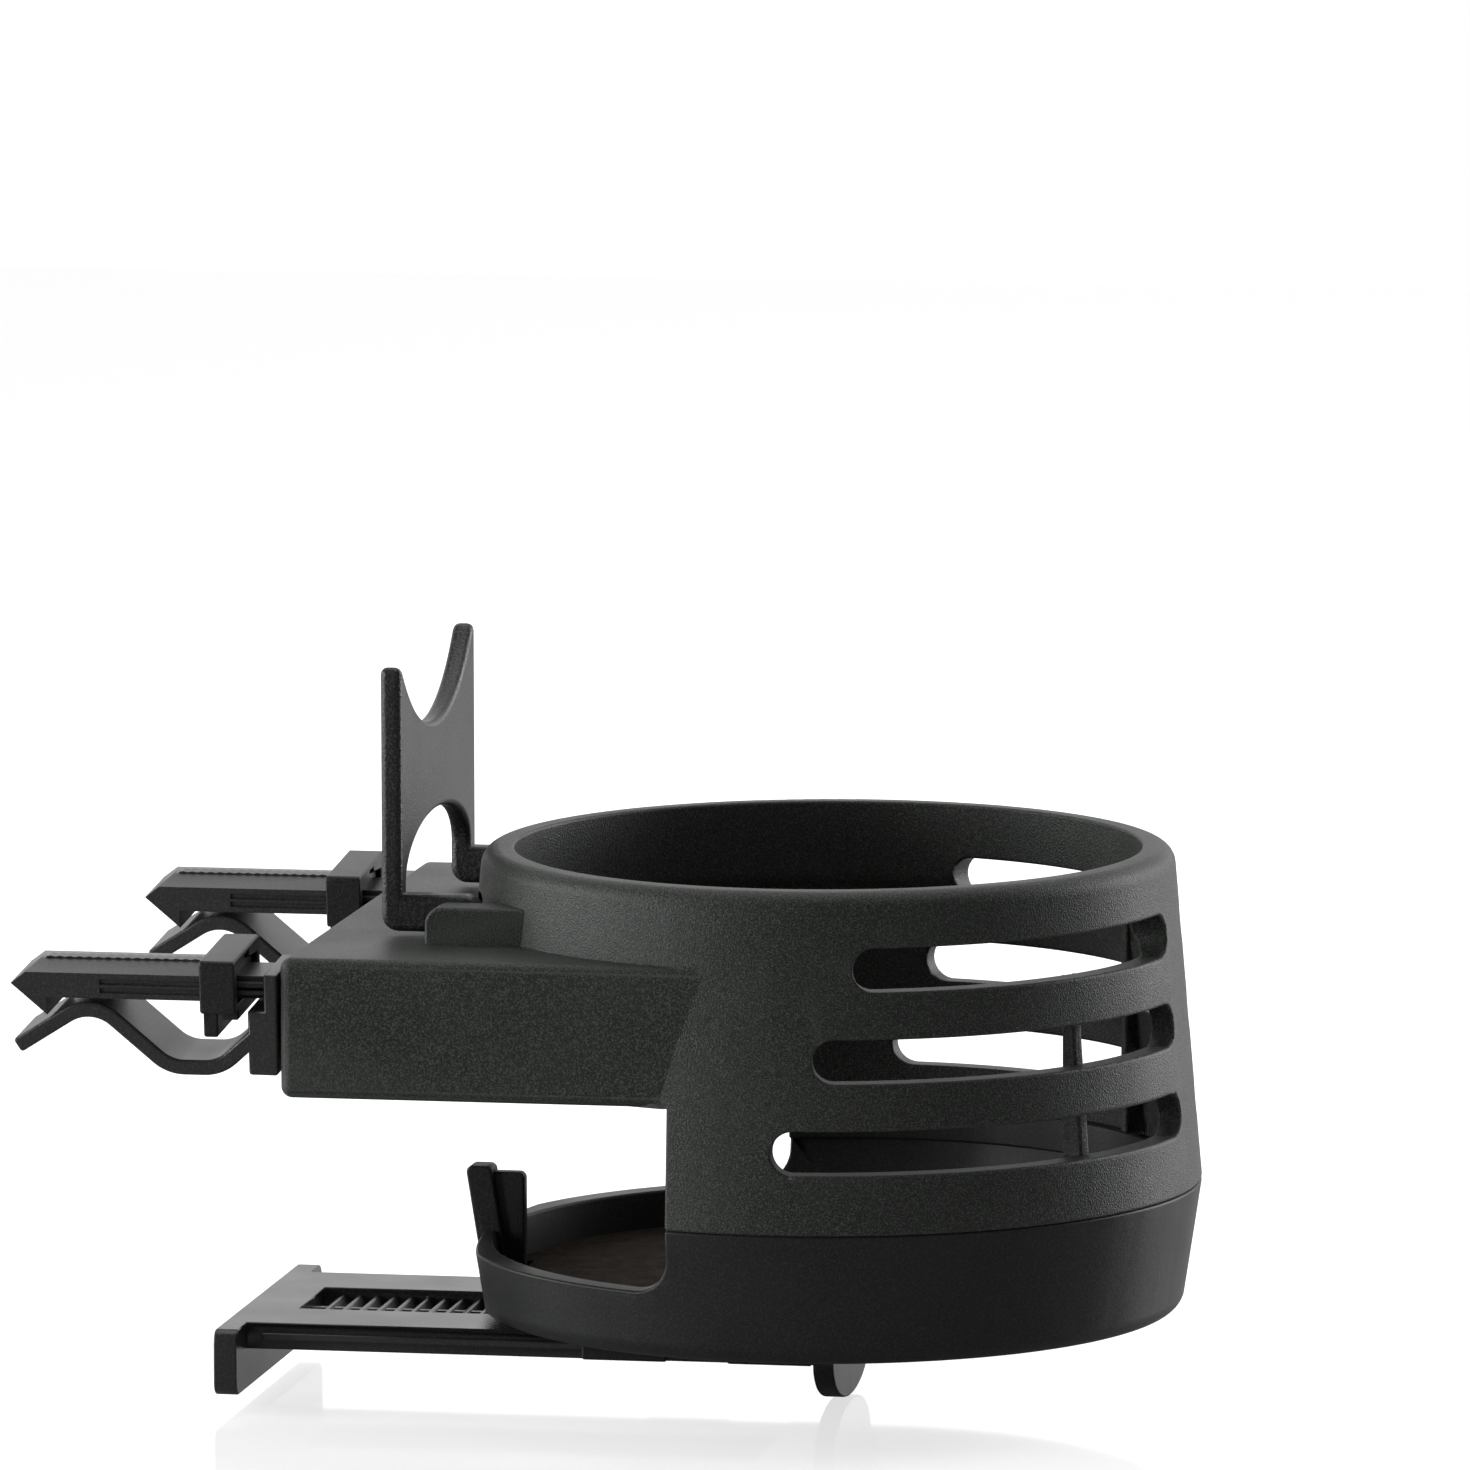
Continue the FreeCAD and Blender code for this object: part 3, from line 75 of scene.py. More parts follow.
# %% Shared sizes
RIM_RADIUS = 42.4
SEAM_RADIUS = 45.9
SHELL_HEIGHT = 41.1
ARM_REACH = 59.75
ARM_HALF_WIDTH = 42.6
ARM_TOP = 9.4


def outer_radius(depth):
    """Outer radius of the cup wall at a depth below the rim."""
    return RIM_RADIUS + (SEAM_RADIUS - RIM_RADIUS) * depth / SHELL_HEIGHT


lean = math.degrees(math.atan((SEAM_RADIUS - RIM_RADIUS) / SHELL_HEIGHT))
print("The cup's wall leans out by", round(lean, 1), "degrees")

# %% [markdown]
# ## Materials
#
# All mouldings are black ABS, but each left its own mould surface. The cup and its arm
# carry a pebbled grain etched into the mould, which hides scratches. The tray, flap,
# foot and clips come from smoother steel and shine a little more. Worn edges are a
# little lighter than the rest. The mat is felt, and the screws, pins and leaf are steel.

# %% Shader helpers
# A noise pattern's values lie mostly between these two.
NOISE_LOW = 0.3
NOISE_HIGH = 0.7
# Numbers of the Mix node's sockets for colours: two inputs and the output.
MIX_FIRST = 6
MIX_SECOND = 7
MIX_RESULT = 2


def linear(hex_colour):
    """Turns a written screen colour into the linear values that a shader takes."""
    channels = [int(hex_colour[i:i + 2], 16) / 255 for i in (1, 3, 5)]
    return tuple(
        c / 12.92 if c <= 0.04045 else ((c + 0.055) / 1.055) ** 2.4 for c in channels
    ) + (1.0,)


def add_node(owner, kind, values=None, links=None, **settings):
    """Adds a shader node with its settings, its sockets' values and its links."""
    tree = owner.node_tree
    node = tree.nodes.new(kind)
    for name, value in settings.items():
        setattr(node, name, value)
    for socket, value in (values or {}).items():
        node.inputs[socket].default_value = value
    for socket, (source, output) in (links or {}).items():
        tree.links.new(source.outputs[output], node.inputs[socket])
    return node


def new_material(name):
    """Starts a material with an empty node tree."""
    material = bpy.data.materials.new(name)
    material.use_nodes = True
    material.node_tree.nodes.clear()
    return material


def per_size(size_mm):
    """Gives the texture scale whose features have a size in millimetres."""
    return 1 / (size_mm * MM)


print("Features of 1 mm need a texture scale of", per_size(1.0))

# %% [markdown]
# ### Moulded ABS
#
# ABS copies the surface of its mould. Round cells make the grain's pebbles, and a finer
# noise on top paints small light spots: painted glints for the highlights that a low lamp
# would pick out. The plastic also flowed through the mould, which leaves faint patches in
# its colour and its gloss. An edge is rubbed lighter where the surface is pointed.

# %% Moulded ABS
ABS_IOR = 1.54
# Flow patches on a moulding of this size are about 14 mm wide.
PATCH_SIZE = 14.0
# The fine noise is this many times finer than the pebbles.
FINE_SHARE = 1.2
# The fine noise starts to show as a painted glint at the first value, in full at the second.
PAINTED_GLINT_START = 0.46
PAINTED_GLINT_FULL = 0.68
# Pointiness is 0.5 on a flat face and higher on an edge.
RUB_START = 0.53
RUB_FULL = 0.64
RUB_SHARE = 0.5
# The patches change the roughness by this much to either side.
ABS_ROUGHNESS_SPREAD = 0.04


def moulded_abs(name, dark, light, glint_and_rub_colour, grain_mm, grain_height, roughness, specular):
    """Moulded ABS: etched grain, painted glints, faint flow patches and edges rubbed lighter."""
    material = new_material(name)
    place = add_node(material, "ShaderNodeTexCoord")
    patches = add_node(
        material, "ShaderNodeTexNoise", {"Scale": per_size(PATCH_SIZE), "Detail": 3.0},
        {"Vector": (place, "Object")})
    shade = add_node(
        material, "ShaderNodeMapRange", {"From Min": NOISE_LOW, "From Max": NOISE_HIGH},
        {"Value": (patches, "Fac")})
    base = add_node(
        material, "ShaderNodeMix", {MIX_FIRST: linear(dark), MIX_SECOND: linear(light)},
        {"Factor": (shade, "Result")}, data_type="RGBA")
    pebbles = add_node(
        material, "ShaderNodeTexVoronoi", {"Scale": per_size(grain_mm)},
        {"Vector": (place, "Object")}, feature="SMOOTH_F1")
    fine = add_node(
        material, "ShaderNodeTexNoise",
        {"Scale": per_size(grain_mm / FINE_SHARE), "Detail": 1.0},
        {"Vector": (place, "Object")})
    # Painted glints: the fine noise's high values turn to the light colour, a painted highlight on
    # the pebbles.
    painted_glint_mask = add_node(
        material, "ShaderNodeMapRange", {"From Min": PAINTED_GLINT_START, "From Max": PAINTED_GLINT_FULL},
        {"Value": (fine, "Fac")})
    with_painted_glints = add_node(
        material, "ShaderNodeMix", {MIX_SECOND: linear(glint_and_rub_colour)},
        {"Factor": (painted_glint_mask, "Result"), MIX_FIRST: (base, MIX_RESULT)}, data_type="RGBA")
    geometry = add_node(material, "ShaderNodeNewGeometry")
    edge = add_node(
        material, "ShaderNodeMapRange",
        {"From Min": RUB_START, "From Max": RUB_FULL, "To Max": RUB_SHARE},
        {"Value": (geometry, "Pointiness")})
    # The same light colour marks the edges rubbed lighter, which is wear.
    colour = add_node(
        material, "ShaderNodeMix", {MIX_SECOND: linear(glint_and_rub_colour)},
        {"Factor": (edge, "Result"), MIX_FIRST: (with_painted_glints, MIX_RESULT)}, data_type="RGBA")
    height = add_node(
        material, "ShaderNodeMath", None, {0: (pebbles, "Distance"), 1: (fine, "Fac")},
        operation="ADD")
    bump = add_node(
        material, "ShaderNodeBump", {"Strength": 1.0, "Distance": grain_height * MM},
        {"Height": (height, "Value")})
    gloss = add_node(
        material, "ShaderNodeMapRange",
        {"From Min": NOISE_LOW, "From Max": NOISE_HIGH,
         "To Min": roughness - ABS_ROUGHNESS_SPREAD,
         "To Max": roughness + ABS_ROUGHNESS_SPREAD},
        {"Value": (patches, "Fac")})
    shader = add_node(
        material, "ShaderNodeBsdfPrincipled",
        {"IOR": ABS_IOR, "Specular IOR Level": specular},
        {"Base Color": (colour, MIX_RESULT), "Normal": (bump, "Normal"),
         "Roughness": (gloss, "Result")})
    add_node(material, "ShaderNodeOutputMaterial", None, {"Surface": (shader, "BSDF")})
    return material


print("Flow patches, mm:", PATCH_SIZE)

# %% [markdown]
# ### Felt and steel
#
# Felt is a mat of crossed fibres that swallow the light between them, so it has colour
# but hardly any shine. Steel is the other way round: its colour is only its reflection,
# and fine scratches change how sharp that reflection is.

# %% Felt
# Fibres are about 0.02 mm thick, too fine to show, so they are drawn 0.5 mm wide.
FIBRE_SIZE = 0.5
FIBRE_HEIGHT = 0.3
FIBRE_DARK = 0.35
FIBRE_LIGHT = 0.65
TUFT_SIZE = 2.2


def felt(name, dark, light):
    """Needled felt: short matted fibres in two tones, with almost no shine."""
    material = new_material(name)
    place = add_node(material, "ShaderNodeTexCoord")
    fibres = add_node(
        material, "ShaderNodeTexNoise",
        {"Scale": per_size(FIBRE_SIZE), "Detail": 5.0, "Distortion": 2.5},
        {"Vector": (place, "Object")})
    tufts = add_node(
        material, "ShaderNodeTexNoise", {"Scale": per_size(TUFT_SIZE), "Detail": 3.0},
        {"Vector": (place, "Object")})
    shade = add_node(
        material, "ShaderNodeMapRange", {"From Min": FIBRE_DARK, "From Max": FIBRE_LIGHT},
        {"Value": (fibres, "Fac")})
    base = add_node(
        material, "ShaderNodeMix", {MIX_FIRST: linear(dark), MIX_SECOND: linear(light)},
        {"Factor": (shade, "Result")}, data_type="RGBA")
    worn = add_node(
        material, "ShaderNodeMix", {MIX_SECOND: linear(dark)},
        {"Factor": (tufts, "Fac"), MIX_FIRST: (base, MIX_RESULT)}, data_type="RGBA")
    bump = add_node(
        material, "ShaderNodeBump", {"Strength": 1.0, "Distance": FIBRE_HEIGHT * MM},
        {"Height": (fibres, "Fac")})
    rough = add_node(
        material, "ShaderNodeMapRange",
        {"From Min": NOISE_LOW, "From Max": NOISE_HIGH, "To Min": 0.85, "To Max": 1.0},
        {"Value": (tufts, "Fac")})
    shader = add_node(
        material, "ShaderNodeBsdfPrincipled",
        {"IOR": 1.5, "Specular IOR Level": 0.05, "Sheen Weight": 0.04,
         "Sheen Roughness": 0.6},
        {"Base Color": (worn, MIX_RESULT), "Normal": (bump, "Normal"),
         "Roughness": (rough, "Result")})
    add_node(material, "ShaderNodeOutputMaterial", None, {"Surface": (shader, "BSDF")})
    return material


print("Felt tufts, mm:", TUFT_SIZE)

# %% Plated steel
# Scratches are a few hundredths of a millimetre wide, so they are drawn at 0.25 mm.
SCRATCH_SIZE = 0.25
SCRATCH_DEPTH = 0.01
TINT_SIZE = 3.0
STEEL_ROUGHNESS_SPREAD = 0.08


def plated_steel(name, dark, light, roughness):
    """Plated or drawn steel: a bright metal with fine scratches and small changes of tint."""
    material = new_material(name)
    place = add_node(material, "ShaderNodeTexCoord")
    scratches = add_node(
        material, "ShaderNodeTexNoise", {"Scale": per_size(SCRATCH_SIZE), "Detail": 6.0},
        {"Vector": (place, "Object")})
    tint = add_node(
        material, "ShaderNodeTexNoise", {"Scale": per_size(TINT_SIZE), "Detail": 2.0},
        {"Vector": (place, "Object")})
    colour = add_node(
        material, "ShaderNodeMix", {MIX_FIRST: linear(dark), MIX_SECOND: linear(light)},
        {"Factor": (tint, "Fac")}, data_type="RGBA")
    rough = add_node(
        material, "ShaderNodeMapRange",
        {"From Min": NOISE_LOW, "From Max": NOISE_HIGH,
         "To Min": roughness - STEEL_ROUGHNESS_SPREAD,
         "To Max": roughness + STEEL_ROUGHNESS_SPREAD},
        {"Value": (scratches, "Fac")})
    bump = add_node(
        material, "ShaderNodeBump", {"Strength": 0.6, "Distance": SCRATCH_DEPTH * MM},
        {"Height": (scratches, "Fac")})
    shader = add_node(
        material, "ShaderNodeBsdfPrincipled", {"Metallic": 1.0},
        {"Base Color": (colour, MIX_RESULT), "Normal": (bump, "Normal"),
         "Roughness": (rough, "Result")})
    add_node(material, "ShaderNodeOutputMaterial", None, {"Surface": (shader, "BSDF")})
    return material


print("Steel scratches, mm:", SCRATCH_SIZE)

# %% The materials, one for each slot of the record
# The values of an ABS are its two base tones, its painted glint and rubbed edge colour, the
# grain's width and height in millimetres, the roughness and the strength of the reflection.
MATERIALS = {
    # ABS from a photo-etched mould: pebbles 0.1 mm wide scatter the light, so the black
    # looks like charcoal. Real pebbles are finer than a pixel, so they are drawn at 0.2 mm.
    "shell_plastic": moulded_abs(
        "etched_charcoal_abs", "#1e211e", "#272a27", "#4c504c", 0.21, 0.05, 0.48, 0.23),
    # The same ABS from a blasted mould: even and dull, as the cover is seen from below.
    "cover_plastic": moulded_abs(
        "blasted_black_abs", "#131413", "#191b19", "#333533", 0.45, 0.05, 0.55, 0.27),
    # ABS from a ground mould: a smooth satin black. What grinding leaves, and polishing
    # on the next pieces, is finer than a pixel, so it is drawn at 0.3 mm and very low.
    "tray_plastic": moulded_abs(
        "ground_satin_black_abs", "#1f211f", "#252725", "#2e302e", 0.30, 0.010, 0.42, 0.15),
    # ABS from a polished mould: long flat faces that mirror the backdrop softly.
    "foot_plastic": moulded_abs(
        "foot_polished_black_abs", "#1e1f1e", "#242524", "#343534", 0.30, 0.012, 0.30, 0.40),
    # ABS with a light grain, a little lighter where the hand rubs its edges.
    "flap_plastic": moulded_abs(
        "flap_satin_black_abs", "#151615", "#1c1d1c", "#3c3d3c", 0.30, 0.045, 0.40, 0.34),
    # Glossier ABS for the clips, whose small flat faces each catch the light alone.
    "clip_plastic": moulded_abs(
        "clip_polished_black_abs", "#222322", "#292a29", "#383938", 0.30, 0.012, 0.32, 0.34),
    # The same for the blades, so that their ridges show as thin bright lines.
    "blade_plastic": moulded_abs(
        "blade_polished_black_abs", "#242524", "#2b2c2b", "#3a3b3a", 0.30, 0.012, 0.32, 0.30),
    # ABS from a less polished mould: the collars are a darker, softer black.
    "collar_plastic": moulded_abs(
        "collar_satin_black_abs", "#161716", "#1c1d1c", "#2c2d2c", 0.30, 0.012, 0.36, 0.24),
    # Needled polyester felt: brown and black fibres, matt, so it is the darkest face.
    "mat_felt": felt("needled_brown_felt", "#0e0b08", "#4a3828"),
    # Zinc plate on the screws: bluish and slightly dull.
    "screw_steel": plated_steel("zinc_plated_steel", "#8d8f92", "#a9abad", 0.32),
    # Drawn steel pins: brighter, with a sharper reflection.
    "pin_steel": plated_steel("drawn_pin_steel", "#96979a", "#b5b6b8", 0.28),
    # Tempered spring steel: darker, as the heat left a thin film on it.
    "spring_steel": plated_steel("tempered_spring_steel", "#7f8184", "#9b9da0", 0.30),
}
slot_of = {entry["node"]: entry["material_slot"] for entry in frame["record"]["subparts"]}
for node, thing in frame["nodes"].items():
    thing.data.materials.clear()
    thing.data.materials.append(MATERIALS[slot_of[node]])
print("Materials:", len(MATERIALS), "for", len(slot_of), "pieces")

# %% [markdown]
# ## Helpers for moulded forms
#
# A mould's edges are never sharp, so each hard form gets a small bevel, and its normals
# are weighted by face area so that flat faces stay flat and only the bevels turn.

# %% Objects from mesh code
# Points closer than this, in metres, are one point: on solids' copies and on new pieces.
COPY_MERGE = 1e-6
PIECE_MERGE = 1e-7
# Faces that turn by less than this are one flat face.
FLAT_ANGLE = math.radians(0.6)

body_of_node = {
    node: body
    for body, nodes in frame["record"]["behaviour"]["bodies"].items()
    for node in nodes
}


def loose_object(name, bm):
    """Turns mesh code into an object at the origin."""
    mesh = bpy.data.meshes.new(name)
    bm.to_mesh(mesh)
    bm.free()
    thing = bpy.data.objects.new(name, mesh)
    bpy.context.scene.collection.objects.link(thing)
    return thing


def piece_for(node, bm):
    """Turns mesh code into a piece that rides on a node's body and stands for the node."""
    bmesh.ops.remove_doubles(bm, verts=bm.verts, dist=PIECE_MERGE)
    bmesh.ops.recalc_face_normals(bm, faces=bm.faces)
    thing = loose_object(f"{node}_dressed", bm)
    for polygon in thing.data.polygons:
        polygon.use_smooth = True
    thing.data.materials.append(MATERIALS[slot_of[node]])
    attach(thing, body_of_node[node])
    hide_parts(node)
    return thing


def joined_copy(mesh):
    """Copies a mesh, with its doubles merged and its flat faces joined."""
    bm = bmesh.new()
    bm.from_mesh(mesh)
    bmesh.ops.remove_doubles(bm, verts=bm.verts, dist=COPY_MERGE)
    bmesh.ops.dissolve_limit(bm, angle_limit=FLAT_ANGLE, verts=bm.verts, edges=bm.edges)
    return bm


def copied_solid(node):
    """Copies a solid's mesh as mesh code."""
    return joined_copy(frame["nodes"][node].data)


# %% Rounded edges
# Edges that turn by more than this are corners.
CORNER_ANGLE = math.radians(38)


def apply_modifiers(thing):
    """Keeps the result of an object's modifiers as its mesh."""
    bpy.context.view_layer.update()
    graph = bpy.context.evaluated_depsgraph_get()
    result = bpy.data.meshes.new_from_object(thing.evaluated_get(graph))
    thing.modifiers.clear()
    thing.data = result


def mark_sharp(bm, left_out=None):
    """Marks the outer edges that get rounded, and keeps all other corners crisp."""
    weight = bm.edges.layers.float.new("bevel_weight_edge")
    marked = 0
    for edge in bm.edges:
        if len(edge.link_faces) != 2 or edge.calc_face_angle() <= CORNER_ANGLE:
            continue
        if edge.is_convex and not (left_out and left_out(edge)):
            edge[weight] = 1.0
            marked += 1
        else:
            edge.smooth = False
    print("Edges to round:", marked, "of", len(bm.edges))


def softened(node, bm, width_mm, segments=3, clamped=True, left_out=None):
    """Makes a node's piece with its outer edges rounded and its flat faces kept flat."""
    bmesh.ops.recalc_face_normals(bm, faces=bm.faces)
    mark_sharp(bm, left_out)
    thing = piece_for(node, bm)
    bevel = thing.modifiers.new("mould edge", "BEVEL")
    bevel.width = width_mm * MM
    bevel.segments = segments
    bevel.limit_method = "WEIGHT"
    bevel.miter_outer = "MITER_ARC"
    bevel.use_clamp_overlap = clamped
    weights = thing.modifiers.new("flat faces stay flat", "WEIGHTED_NORMAL")
    weights.mode = "FACE_AREA"
    weights.keep_sharp = True
    apply_modifiers(thing)
    print(thing.name, "faces:", len(thing.data.polygons))


print("Corners turn by more than", round(math.degrees(CORNER_ANGLE)), "degrees")

# %% [markdown]
# ## Cup, tray, foot and cover
#
# Each of these solids already has its form, so it is copied, its flat faces are joined
# and its edges get the small radius of a mould. The tray's edge is a little crisper than
# the cup's, and the hidden cover's is crisper still. A bevel across the line where the
# arm meets the cup would leave slivers, so that line is left out and kept crisp.

# %% The arm and the ears on the cup
# The ears end flat at EAR_END, and their outer points lie between the two sides.
EAR_END = -34.0
EAR_SIDES = (27.0, 28.1)
EAR_LONGER = 1.9
# Slack in finding points: on a flat end, on the arm's side, and on the tapered cup.
END_SLACK = 0.01
SIDE_SLACK = 0.02
CUP_SLACK = 0.1
# Boxes round the places where the arm and the ears meet the cup, as lowest and highest
# values along the arm, to either side and in height.
ARM_JUNCTION = ((-25, 30, -30), (-5, 60, -8))
EAR_JUNCTION = ((-35, -1, -12), (-25, 30, -3))


def run_ears_into_wall(bm):
    """Lengthens the two ears until they end inside the cup's wall."""
    for vert in bm.verts:
        along, side, up = (value / MM for value in vert.co)
        on_end = abs(along - EAR_END) < END_SLACK and EAR_SIDES[0] < abs(side) < EAR_SIDES[1]
        if on_end and up > -ARM_TOP - CUP_SLACK:
            vert.co.x += EAR_LONGER * MM


def keep_junction_crisp(bm):
    """Marks the line where the arm's flat side ends on the round cup as sharp."""
    marked = 0
    for edge in bm.edges:
        ends = [vert.co / MM for vert in edge.verts]
        on_side = all(abs(abs(end.y) - ARM_HALF_WIDTH) < SIDE_SLACK for end in ends)
        on_cup = all(
            abs(math.hypot(end.x, end.y) - outer_radius(-end.z)) < CUP_SLACK for end in ends)
        if on_side and on_cup and all(end.x < 0 for end in ends):
            edge.smooth = False
            marked += 1
    print("Edges kept crisp:", marked)


def at_junction(edge):
    """Tells whether an edge lies where the arm or an ear meets the cup."""
    middle = (edge.verts[0].co + edge.verts[1].co) / 2 / MM
    point = (middle.x, abs(middle.y), middle.z)
    return any(
        all(low < value < high for low, value, high in zip(lowest, point, highest))
        for lowest, highest in (ARM_JUNCTION, EAR_JUNCTION))


shell = copied_solid("cup_shell")
run_ears_into_wall(shell)
keep_junction_crisp(shell)

# %% Cup, tray, foot and cover
# The bevel's own limit is off where one short edge would hold back all the others.
softened("cup_shell", shell, 0.4, clamped=False, left_out=at_junction)
softened("base_tray", copied_solid("base_tray"), 0.35, clamped=False)
softened("support_foot", copied_solid("support_foot"), 0.4)
softened("arm_cover", copied_solid("arm_cover"), 0.2)

# %% [markdown]
# ## Bottle flap
#
# The flap is a flat moulding with a round hollow on top and an arch below for a finger.
# It could be a copy of its solid, but its outline is simple and its edges are rounder
# than any other's. So a plain plate is cut by a round rod, and by an oval rod with a
# block below it. Two arms are added, and one bevel rounds the outer edges.

# %% Flap sizes
FLAP_BACK = -51.3
FLAP_FRONT = -48.7
FLAP_HALF_WIDTH = 22.7
FLAP_LEG = 3.4
FLAP_TOP = 23.55
FLAP_FOOT = -8.8
FLAP_HEEL_ROUND = 2.0
FLAP_EDGE_ROUND = 0.85
NOTCH_RADIUS = 29.0
NOTCH_BOTTOM = 14.3
ARCH_HALF_WIDTH = FLAP_HALF_WIDTH - FLAP_LEG
ARCH_TOP = 3.3
ARCH_SPRING = -3.4
HINGE_BACK = -41.2
HINGE_DEPTH = 6.5
HINGE_ARM_RADIUS = 2.3
# The cutters stand across the plate and are longer than it is thick.
CUTTER_MIDDLE = -50
CUTTER_LENGTH = 10
print("Finger arch, mm:", round(2 * ARCH_HALF_WIDTH, 1), "wide")


# %% Boxes, rods and how they combine
def box_into(bm, low, high):
    """Adds a box between two corners."""
    middle = (Vector(low) + Vector(high)) / 2 * MM
    size = (Vector(high) - Vector(low)) * MM
    matrix = Matrix.Translation(middle) @ Matrix.Diagonal((*size, 1))
    bmesh.ops.create_cube(bm, size=1, matrix=matrix)


def rod_into(bm, axis, place, radius, length, segments):
    """Adds a round rod along X or Y."""
    turn = Matrix.Rotation(math.pi / 2, 4, "Y" if axis == "X" else "X")
    matrix = Matrix.Translation(Vector(place) * MM) @ turn
    bmesh.ops.create_cone(bm, cap_ends=True, segments=segments, radius1=radius * MM,
                          radius2=radius * MM, depth=length * MM, matrix=matrix)


def flatten(bm, level, share):
    """Squeezes a form in height towards a level."""
    middle = Vector((0, 0, level * MM))
    bmesh.ops.scale(bm, vec=(1, 1, share), space=Matrix.Translation(-middle), verts=bm.verts)


def combine(thing, bm, operation):
    """Cuts an object by a form or joins them."""
    other = loose_object("other_form", bm)
    step = thing.modifiers.new(operation.lower(), "BOOLEAN")
    step.operation = operation
    step.object = other
    step.solver = "EXACT"
    apply_modifiers(thing)
    bpy.data.objects.remove(other)


# %% The forms of the flap
def plain_plate():
    """The uncut plate."""
    bm = bmesh.new()
    box_into(bm, (FLAP_BACK, -FLAP_HALF_WIDTH, FLAP_FOOT), (FLAP_FRONT, FLAP_HALF_WIDTH, FLAP_TOP))
    return bm


def round_notch():
    """Rod that cuts the round hollow."""
    bm = bmesh.new()
    place = (CUTTER_MIDDLE, 0, NOTCH_BOTTOM + NOTCH_RADIUS)
    rod_into(bm, "X", place, NOTCH_RADIUS, CUTTER_LENGTH, segments=120)
    return bm


def oval_arch():
    """Oval rod that cuts the top of the finger arch."""
    bm = bmesh.new()
    rod_into(bm, "X", (CUTTER_MIDDLE, 0, ARCH_SPRING), ARCH_HALF_WIDTH, CUTTER_LENGTH, segments=96)
    flatten(bm, ARCH_SPRING, (ARCH_TOP - ARCH_SPRING) / ARCH_HALF_WIDTH)
    return bm


def gap_below_arch():
    """Block that opens the arch downwards, and passes the plate's foot by 1 mm."""
    bm = bmesh.new()
    half = CUTTER_LENGTH / 2
    box_into(bm, (CUTTER_MIDDLE - half, -ARCH_HALF_WIDTH, FLAP_FOOT - 1),
             (CUTTER_MIDDLE + half, ARCH_HALF_WIDTH, ARCH_SPRING))
    return bm


def hinge_arms():
    """Two short arms from the plate to the hinge."""
    bm = bmesh.new()
    for side in (-1, 1):
        inner = ARCH_HALF_WIDTH * side
        outer = FLAP_HALF_WIDTH * side
        low = (FLAP_BACK, min(inner, outer), FLAP_FOOT)
        high = (HINGE_BACK, max(inner, outer), HINGE_ARM_RADIUS - HINGE_DEPTH)
        box_into(bm, low, high)
    return bm


def hinge_eyes():
    """The round eyes at the arms' ends."""
    bm = bmesh.new()
    for side in (-1, 1):
        middle = (FLAP_HALF_WIDTH - FLAP_LEG / 2) * side
        place = (HINGE_BACK, middle, -HINGE_DEPTH)
        rod_into(bm, "Y", place, HINGE_ARM_RADIUS, FLAP_LEG, segments=32)
    return bm


def round_heels(bm):
    """Rounds the two heels where the plate turns into its arms."""
    heels = [
        edge for edge in bm.edges
        if all(abs(vert.co.x / MM - FLAP_BACK) < END_SLACK for vert in edge.verts)
        and all(abs(vert.co.z / MM - FLAP_FOOT) < END_SLACK for vert in edge.verts)
    ]
    bmesh.ops.bevel(bm, geom=heels, offset=FLAP_HEEL_ROUND * MM, segments=6, profile=0.5,
                    affect="EDGES", material=-1)
    print("Heels rounded:", len(heels))


# %% Build the flap
uncut = loose_object("flap_plate", plain_plate())
for cutter in (round_notch(), oval_arch(), gap_below_arch()):
    combine(uncut, cutter, "DIFFERENCE")
for addition in (hinge_arms(), hinge_eyes()):
    combine(uncut, addition, "UNION")
flap = joined_copy(uncut.data)
bpy.data.objects.remove(uncut)
round_heels(flap)
softened("bottle_flap", flap, FLAP_EDGE_ROUND, segments=4, clamped=False)

# %% [markdown]
# ## Vent clips
#
# The clips are small crisp mouldings. The fine teeth on the blade's ridge are worn in the
# moulding, so their tips are pressed down a little before the edges are rounded.

# %% Vent clips
CLIP_TWIST = math.radians(5.5)
CLIP_SIDE = 36.5
CLIP_DEPTH = 17.55
RIDGE = 7.0
TOOTH_SHARE = 0.45


def to_clip(side):
    """Gives the matrix from the part's frame to a clip's own frame."""
    place = Matrix.Translation(Vector((-ARM_REACH, CLIP_SIDE * side, -CLIP_DEPTH)) * MM)
    return (place @ Matrix.Rotation(CLIP_TWIST, 4, "X")).inverted()


def press_teeth(bm, side):
    """Lowers the ratchet's teeth on the blade's ridge."""
    matrix = to_clip(side)
    bm.transform(matrix)
    for vert in bm.verts:
        above = vert.co.z - RIDGE * MM
        if above > END_SLACK * MM:
            vert.co.z -= above * (1 - TOOTH_SHARE)
    bm.transform(matrix.inverted())


for name, side in (("left", -1), ("right", 1)):
    blade = copied_solid(f"{name}_clip_blade")
    press_teeth(blade, side)
    softened(f"{name}_clip_blade", blade, 0.12)
    softened(f"{name}_clip_base", copied_solid(f"{name}_clip_base"), 0.4)
    softened(f"{name}_clip_collar", copied_solid(f"{name}_clip_collar"), 0.35)

# %% [markdown]
# ## Camera
#
# The holder was photographed with a long lens, a little from above and from the side of
# the cup. The camera stands 1.7 m away.

# %% Camera
AZIMUTH = math.radians(10.5)
ELEVATION = math.radians(7.6)
ROLL = math.radians(0.15)
FOCAL_PIXELS = 14000.0
FRAME_PIXELS = 1470
SENSOR_WIDTH = 36.0
# Pixels for a millimetre at the cup's opening, and where that opening's middle lies.
PIXELS_PER_MM = 8.157
ORIGIN_PIXEL = (828.0, 844.2)
DISTANCE = FOCAL_PIXELS / PIXELS_PER_MM
CLIP_END = 20


